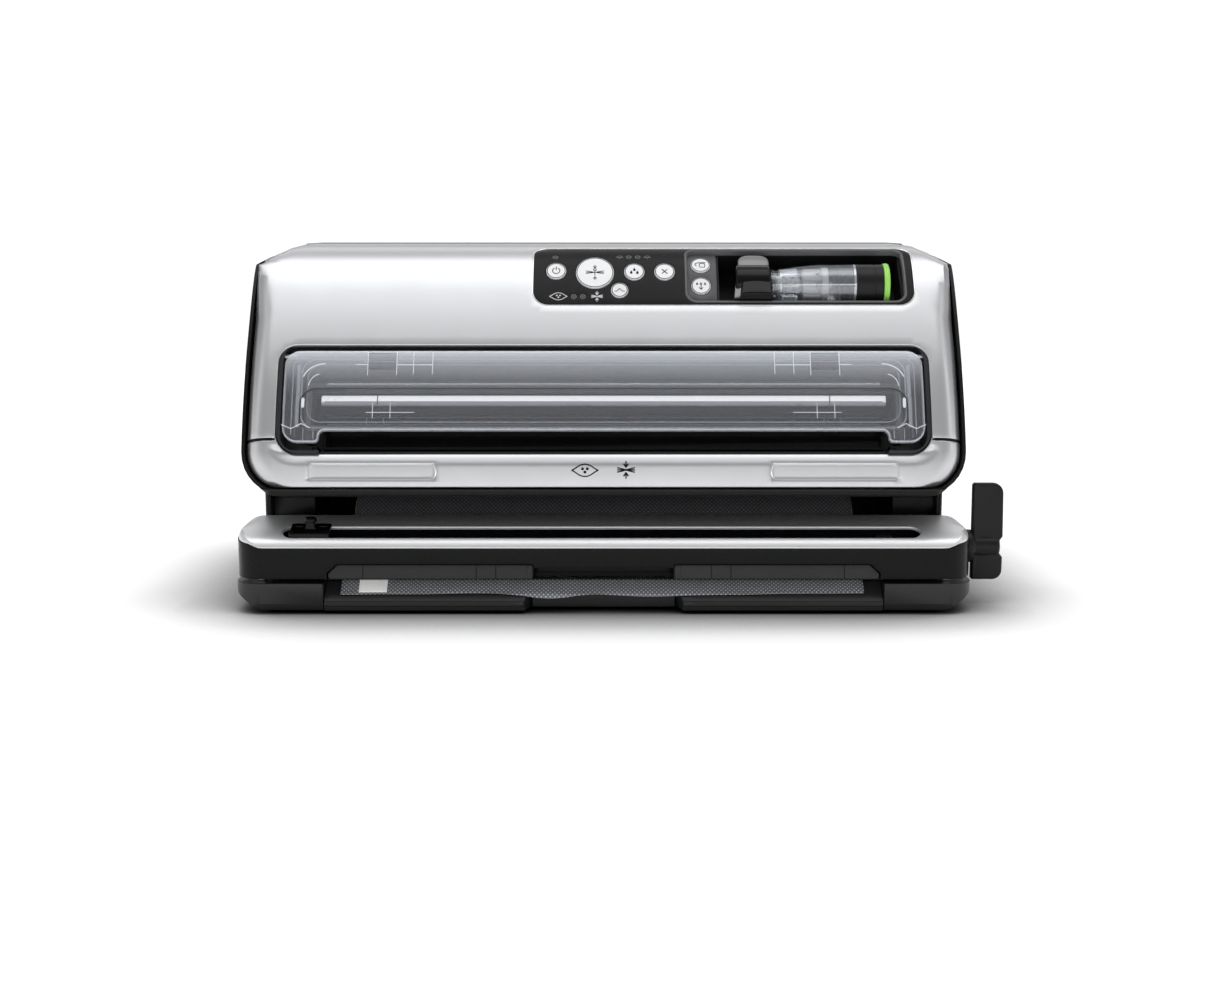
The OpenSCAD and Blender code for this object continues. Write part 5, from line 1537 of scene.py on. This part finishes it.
bowl = [(75.0, HV - 15.0), (93.2, HV - 15.0), (93.2, HV + 4.4)] + arc_pts(90.2, HV + 4.4, 3.0, 0, 90, 5) + [(84.0, HV + 7.6)] + arc_pts(80.4, HV + 4.0, 3.2, 90, 172, 5) + [(76.6, HV - 2.0)]


def bowl_face(x, v, h=0.0):
    u = (x - 84) / 9.4
    return dock(x, v, HW + 9.0 - 1.3 * max(0.0, (v - HV + 1.0) / 8.0) ** 2 + 0.9 * math.sqrt(max(0.0, 1 - u * u)) + h)


hd.append(skin(bowl_face, bowl, [], R=1.7, thick=10, grid=(1.6, 1.6), steps=5, step=1.6))
# a raised fold across the bowl
hd.append(ribbon(bowl_face, [(78.0, HV + 3.4), (80.5, HV + 4.8), (88.5, HV + 5.0), (91.2, HV + 3.4)], 0.7, -0.3, 0.25))
part("head_body", hd, "gloss", "handheld", ("handheld_head",))
DONE.add("handheld_head")

# clear reservoir: ribbed neck, cone and straight tube
outer = [(8.2, 92.2), (8.2, 93.4), (8.8, 93.7), (8.8, 94.7), (8.2, 95.0), (8.2, 96.2), (8.8, 96.5), (8.8, 97.6), (9.2, 98.5), (9.9, 103), (10.6, 109), (11.2, 115), (11.5, 119), (11.55, 128), (11.6, 139.4)]
inner_ = [(10.3, 139.4), (10.3, 119), (9.4, 109), (8.4, 101), (7.0, 98), (7.0, 92.2), (8.2, 92.2)]
part("reservoir_skin", revolve(outer + inner_, hand, 64), "tube_clear", "handheld", ("handheld_reservoir",), smooth=40)
rg = [revolve(round_profile([(r0, h0), (r1, h0), (r1, h1), (r0, h1), (r0, h0)], 0.2, 2), hand, 56) for r0, r1, h0, h1 in ((10.4, 11.85, 138.4, 139.7), (8.0, 9.15, 97.7, 98.7), (7.2, 8.9, 92.0, 92.8))]
part("reservoir_rings", rg, "clear_edge", "handheld", smooth=40)
ribs = []
for i in range(16):
    an = 2 * math.pi * i / 16
    c, s_ = math.cos(an), math.sin(an)
    v_ = []
    for h_ in (99.0, 107.5):
        for r_, w_ in ((7.5, -0.35), (8.6 if h_ < 100 else 9.3, -0.35), (8.6 if h_ < 100 else 9.3, 0.35), (7.5, 0.35)):
            v_.append(hand(r_ * c - w_ * s_, r_ * s_ + w_ * c, h_))
    f_ = [(0, 1, 2, 3), (7, 6, 5, 4)] + [(j, j + 4, (j + 1) % 4 + 4, (j + 1) % 4) for j in range(4)]
    ribs.append(fix_normals(mesh_from("rib", v_, f_)))
part("reservoir_ribs", ribs, "clear_edge", "handheld", smooth=30)
DONE.add("handheld_reservoir")
vs = [revolve(round_profile([(0, 96), (5.2, 96), (5.2, 99), (4.2, 99.4), (4.2, 101), (5.2, 101.4), (5.2, 104), (4.2, 104.4), (4.2, 106), (5.0, 106.4), (5.0, 109), (3.2, 109.2), (3.2, 121), (0, 121)], 0.25, 2), hand, 48),
      revolve(round_profile([(0, 110.4), (6.8, 110.4), (7.2, 111.2), (7.2, 117.6), (5.8, 118.2), (5.8, 120.6), (9.9, 121), (9.9, 124.4), (0, 124.6)], 0.3, 2), hand, 48)]
for k in range(5):
    an = 2 * math.pi * k / 5 + 0.6
    c, s_ = math.cos(an), math.sin(an)
    v_ = []
    for h_ in (111.0, 120.8):
        for r_, w_ in ((6.8, -1.1), (9.0, -0.8), (9.0, 0.8), (6.8, 1.1)):
            v_.append(hand(r_ * c - w_ * s_, r_ * s_ + w_ * c, h_))
    f_ = [(0, 1, 2, 3), (7, 6, 5, 4)] + [(j, j + 4, (j + 1) % 4 + 4, (j + 1) % 4) for j in range(4)]
    vs.append(fix_normals(mesh_from("fin", v_, f_)))
part("valve_skin", vs, "valve", "handheld", ("handheld_valve",), smooth=36)
DONE.add("handheld_valve")
part("collar_skin", revolve(round_profile([(0, 132), (9.9, 132), (9.9, 139.6), (11.5, 139.7), (11.6, 140.3), (11.6, 149.9), (11.35, 150.2), (11.35, 150.6), (11.6, 150.9), (11.6, 154.8), (0, 154.9)], 0.2, 2), hand, 64), "lever", "handheld", ("handheld_collar",), smooth=36)
part("ring_skin", revolve(round_profile([(7, 156), (7, 155.1), (11.6, 155.0), (12.1, 155.2), (12.2, 155.8), (12.2, 157.4), (11.9, 158.0), (11.2, 158.3), (7.4, 158.4), (7.0, 158.0), (7, 156)], 0.2, 2), hand, 64), "green", "handheld", ("handheld_ring",), smooth=36)
DONE.update(("handheld_collar", "handheld_ring"))

# ------------------------------------------------------------------ lever
def lev(x, y, h=0.0):
    return W(x, 27 + h, y)


pd = []
zt, zb = 33 + 34.9, 33 - 18.5
out = [(202.6, zb + 0.6), (203.4, zb)] + arc_pts(219.5 - 5.2, zb + 5.2, 5.2, -90, 0, 7) + [(219.5, 33 - 6), (217.2, 33 - 3), (217.2, 33 + 2.4), (219.5, 33 + 5.5)] + arc_pts(219.5 - 5.6, zt - 5.6, 5.6, 0, 90, 8) + [(203.6, zt), (202.6, zt - 1.0)]
hfun = lambda z: float(np.interp(z, [zb, 33, zt], [-3.0, -3.5, -1.2]))
nrm_ = densify(out, 4.0)
loop = np.array(nrm_)
dirs = inward([tuple(q) for q in loop])
lv, lf = [], []
rings = []
RR = 1.3
for k in range(5):
    an = math.pi / 2 * k / 4
    rings.append((RR * (1 - math.cos(an)), 1 - math.sin(an), 0))
ring_list = [(o, RR * s_, 0) for o, s_, _ in rings][::-1] + [(o, RR * s_, 1) for o, s_, _ in rings]
for o, inset, side in ring_list:
    for (x, z) in loop + dirs * o:
        fr = float(np.interp(z, [zb, 33, zt], [-3.0, -3.6, -1.2])) + inset
        bk = float(np.interp(z, [zb, 33, zt], [2.6, 3.0, 3.6])) - inset
        lv.append(W(x, 27 + (fr if side == 0 else bk), z))
m_ = len(loop)
for k in range(len(ring_list) - 1):
    for i in range(m_):
        j = (i + 1) % m_
        lf.append((k * m_ + i, k * m_ + j, (k + 1) * m_ + j, (k + 1) * m_ + i))
lf.append(tuple(range(m_)))
lf.append(tuple(range(len(lv) - 1, len(lv) - 1 - m_, -1)))
pd.append(fix_normals(mesh_from("paddle", lv, lf)))


def shaft(a, b, h):
    return W(h, 27 + a, 33 + b)


pd.append(revolve(round_profile([(0, 199.2), (8.6, 199.2), (9.0, 199.8), (9.0, 202.0), (8.4, 202.7), (6.6, 202.9), (6.2, 203.6), (5.7, 204.2), (5.7, 216.5), (4.9, 217.6), (3.2, 217.9), (0, 217.9)], 0.4, 3), shaft, 56))
part("lever_skin", pd, "lever", "lever", ("lever_paddle",), smooth=34)
DONE.add("lever_paddle")

# ------------------------------------------------------------------ every other CAD node: softened edges and its own finish
NO_BEVEL = {"film_sheet", "film_roll", "roll_core", "hinge_rod", "lid_pins", "shell_screws", "base_screws", "vacuum_tube", "indicator_lights", "heating_strip", "bag_seal_element"}
OVER = {"base_pan": "pan", "vacuum_chamber": "chamber", "cutter_track": "gloss", "drip_tray": "gloss", "dock_liner": "inner"}
# the bottom plate's sharp front corners are cut back to follow the shell above
CUTS = {"bottom_plate": [((176.6, 0, 65), (0.7071, -0.7071, 0)), ((-176.6, 0, 65), (-0.7071, -0.7071, 0))]}
for n in NODES:
    if n in DONE:
        continue
    soften(n, 0 if n in NO_BEVEL else 0.4, material=OVER.get(n), cuts=CUTS.get(n, ()))
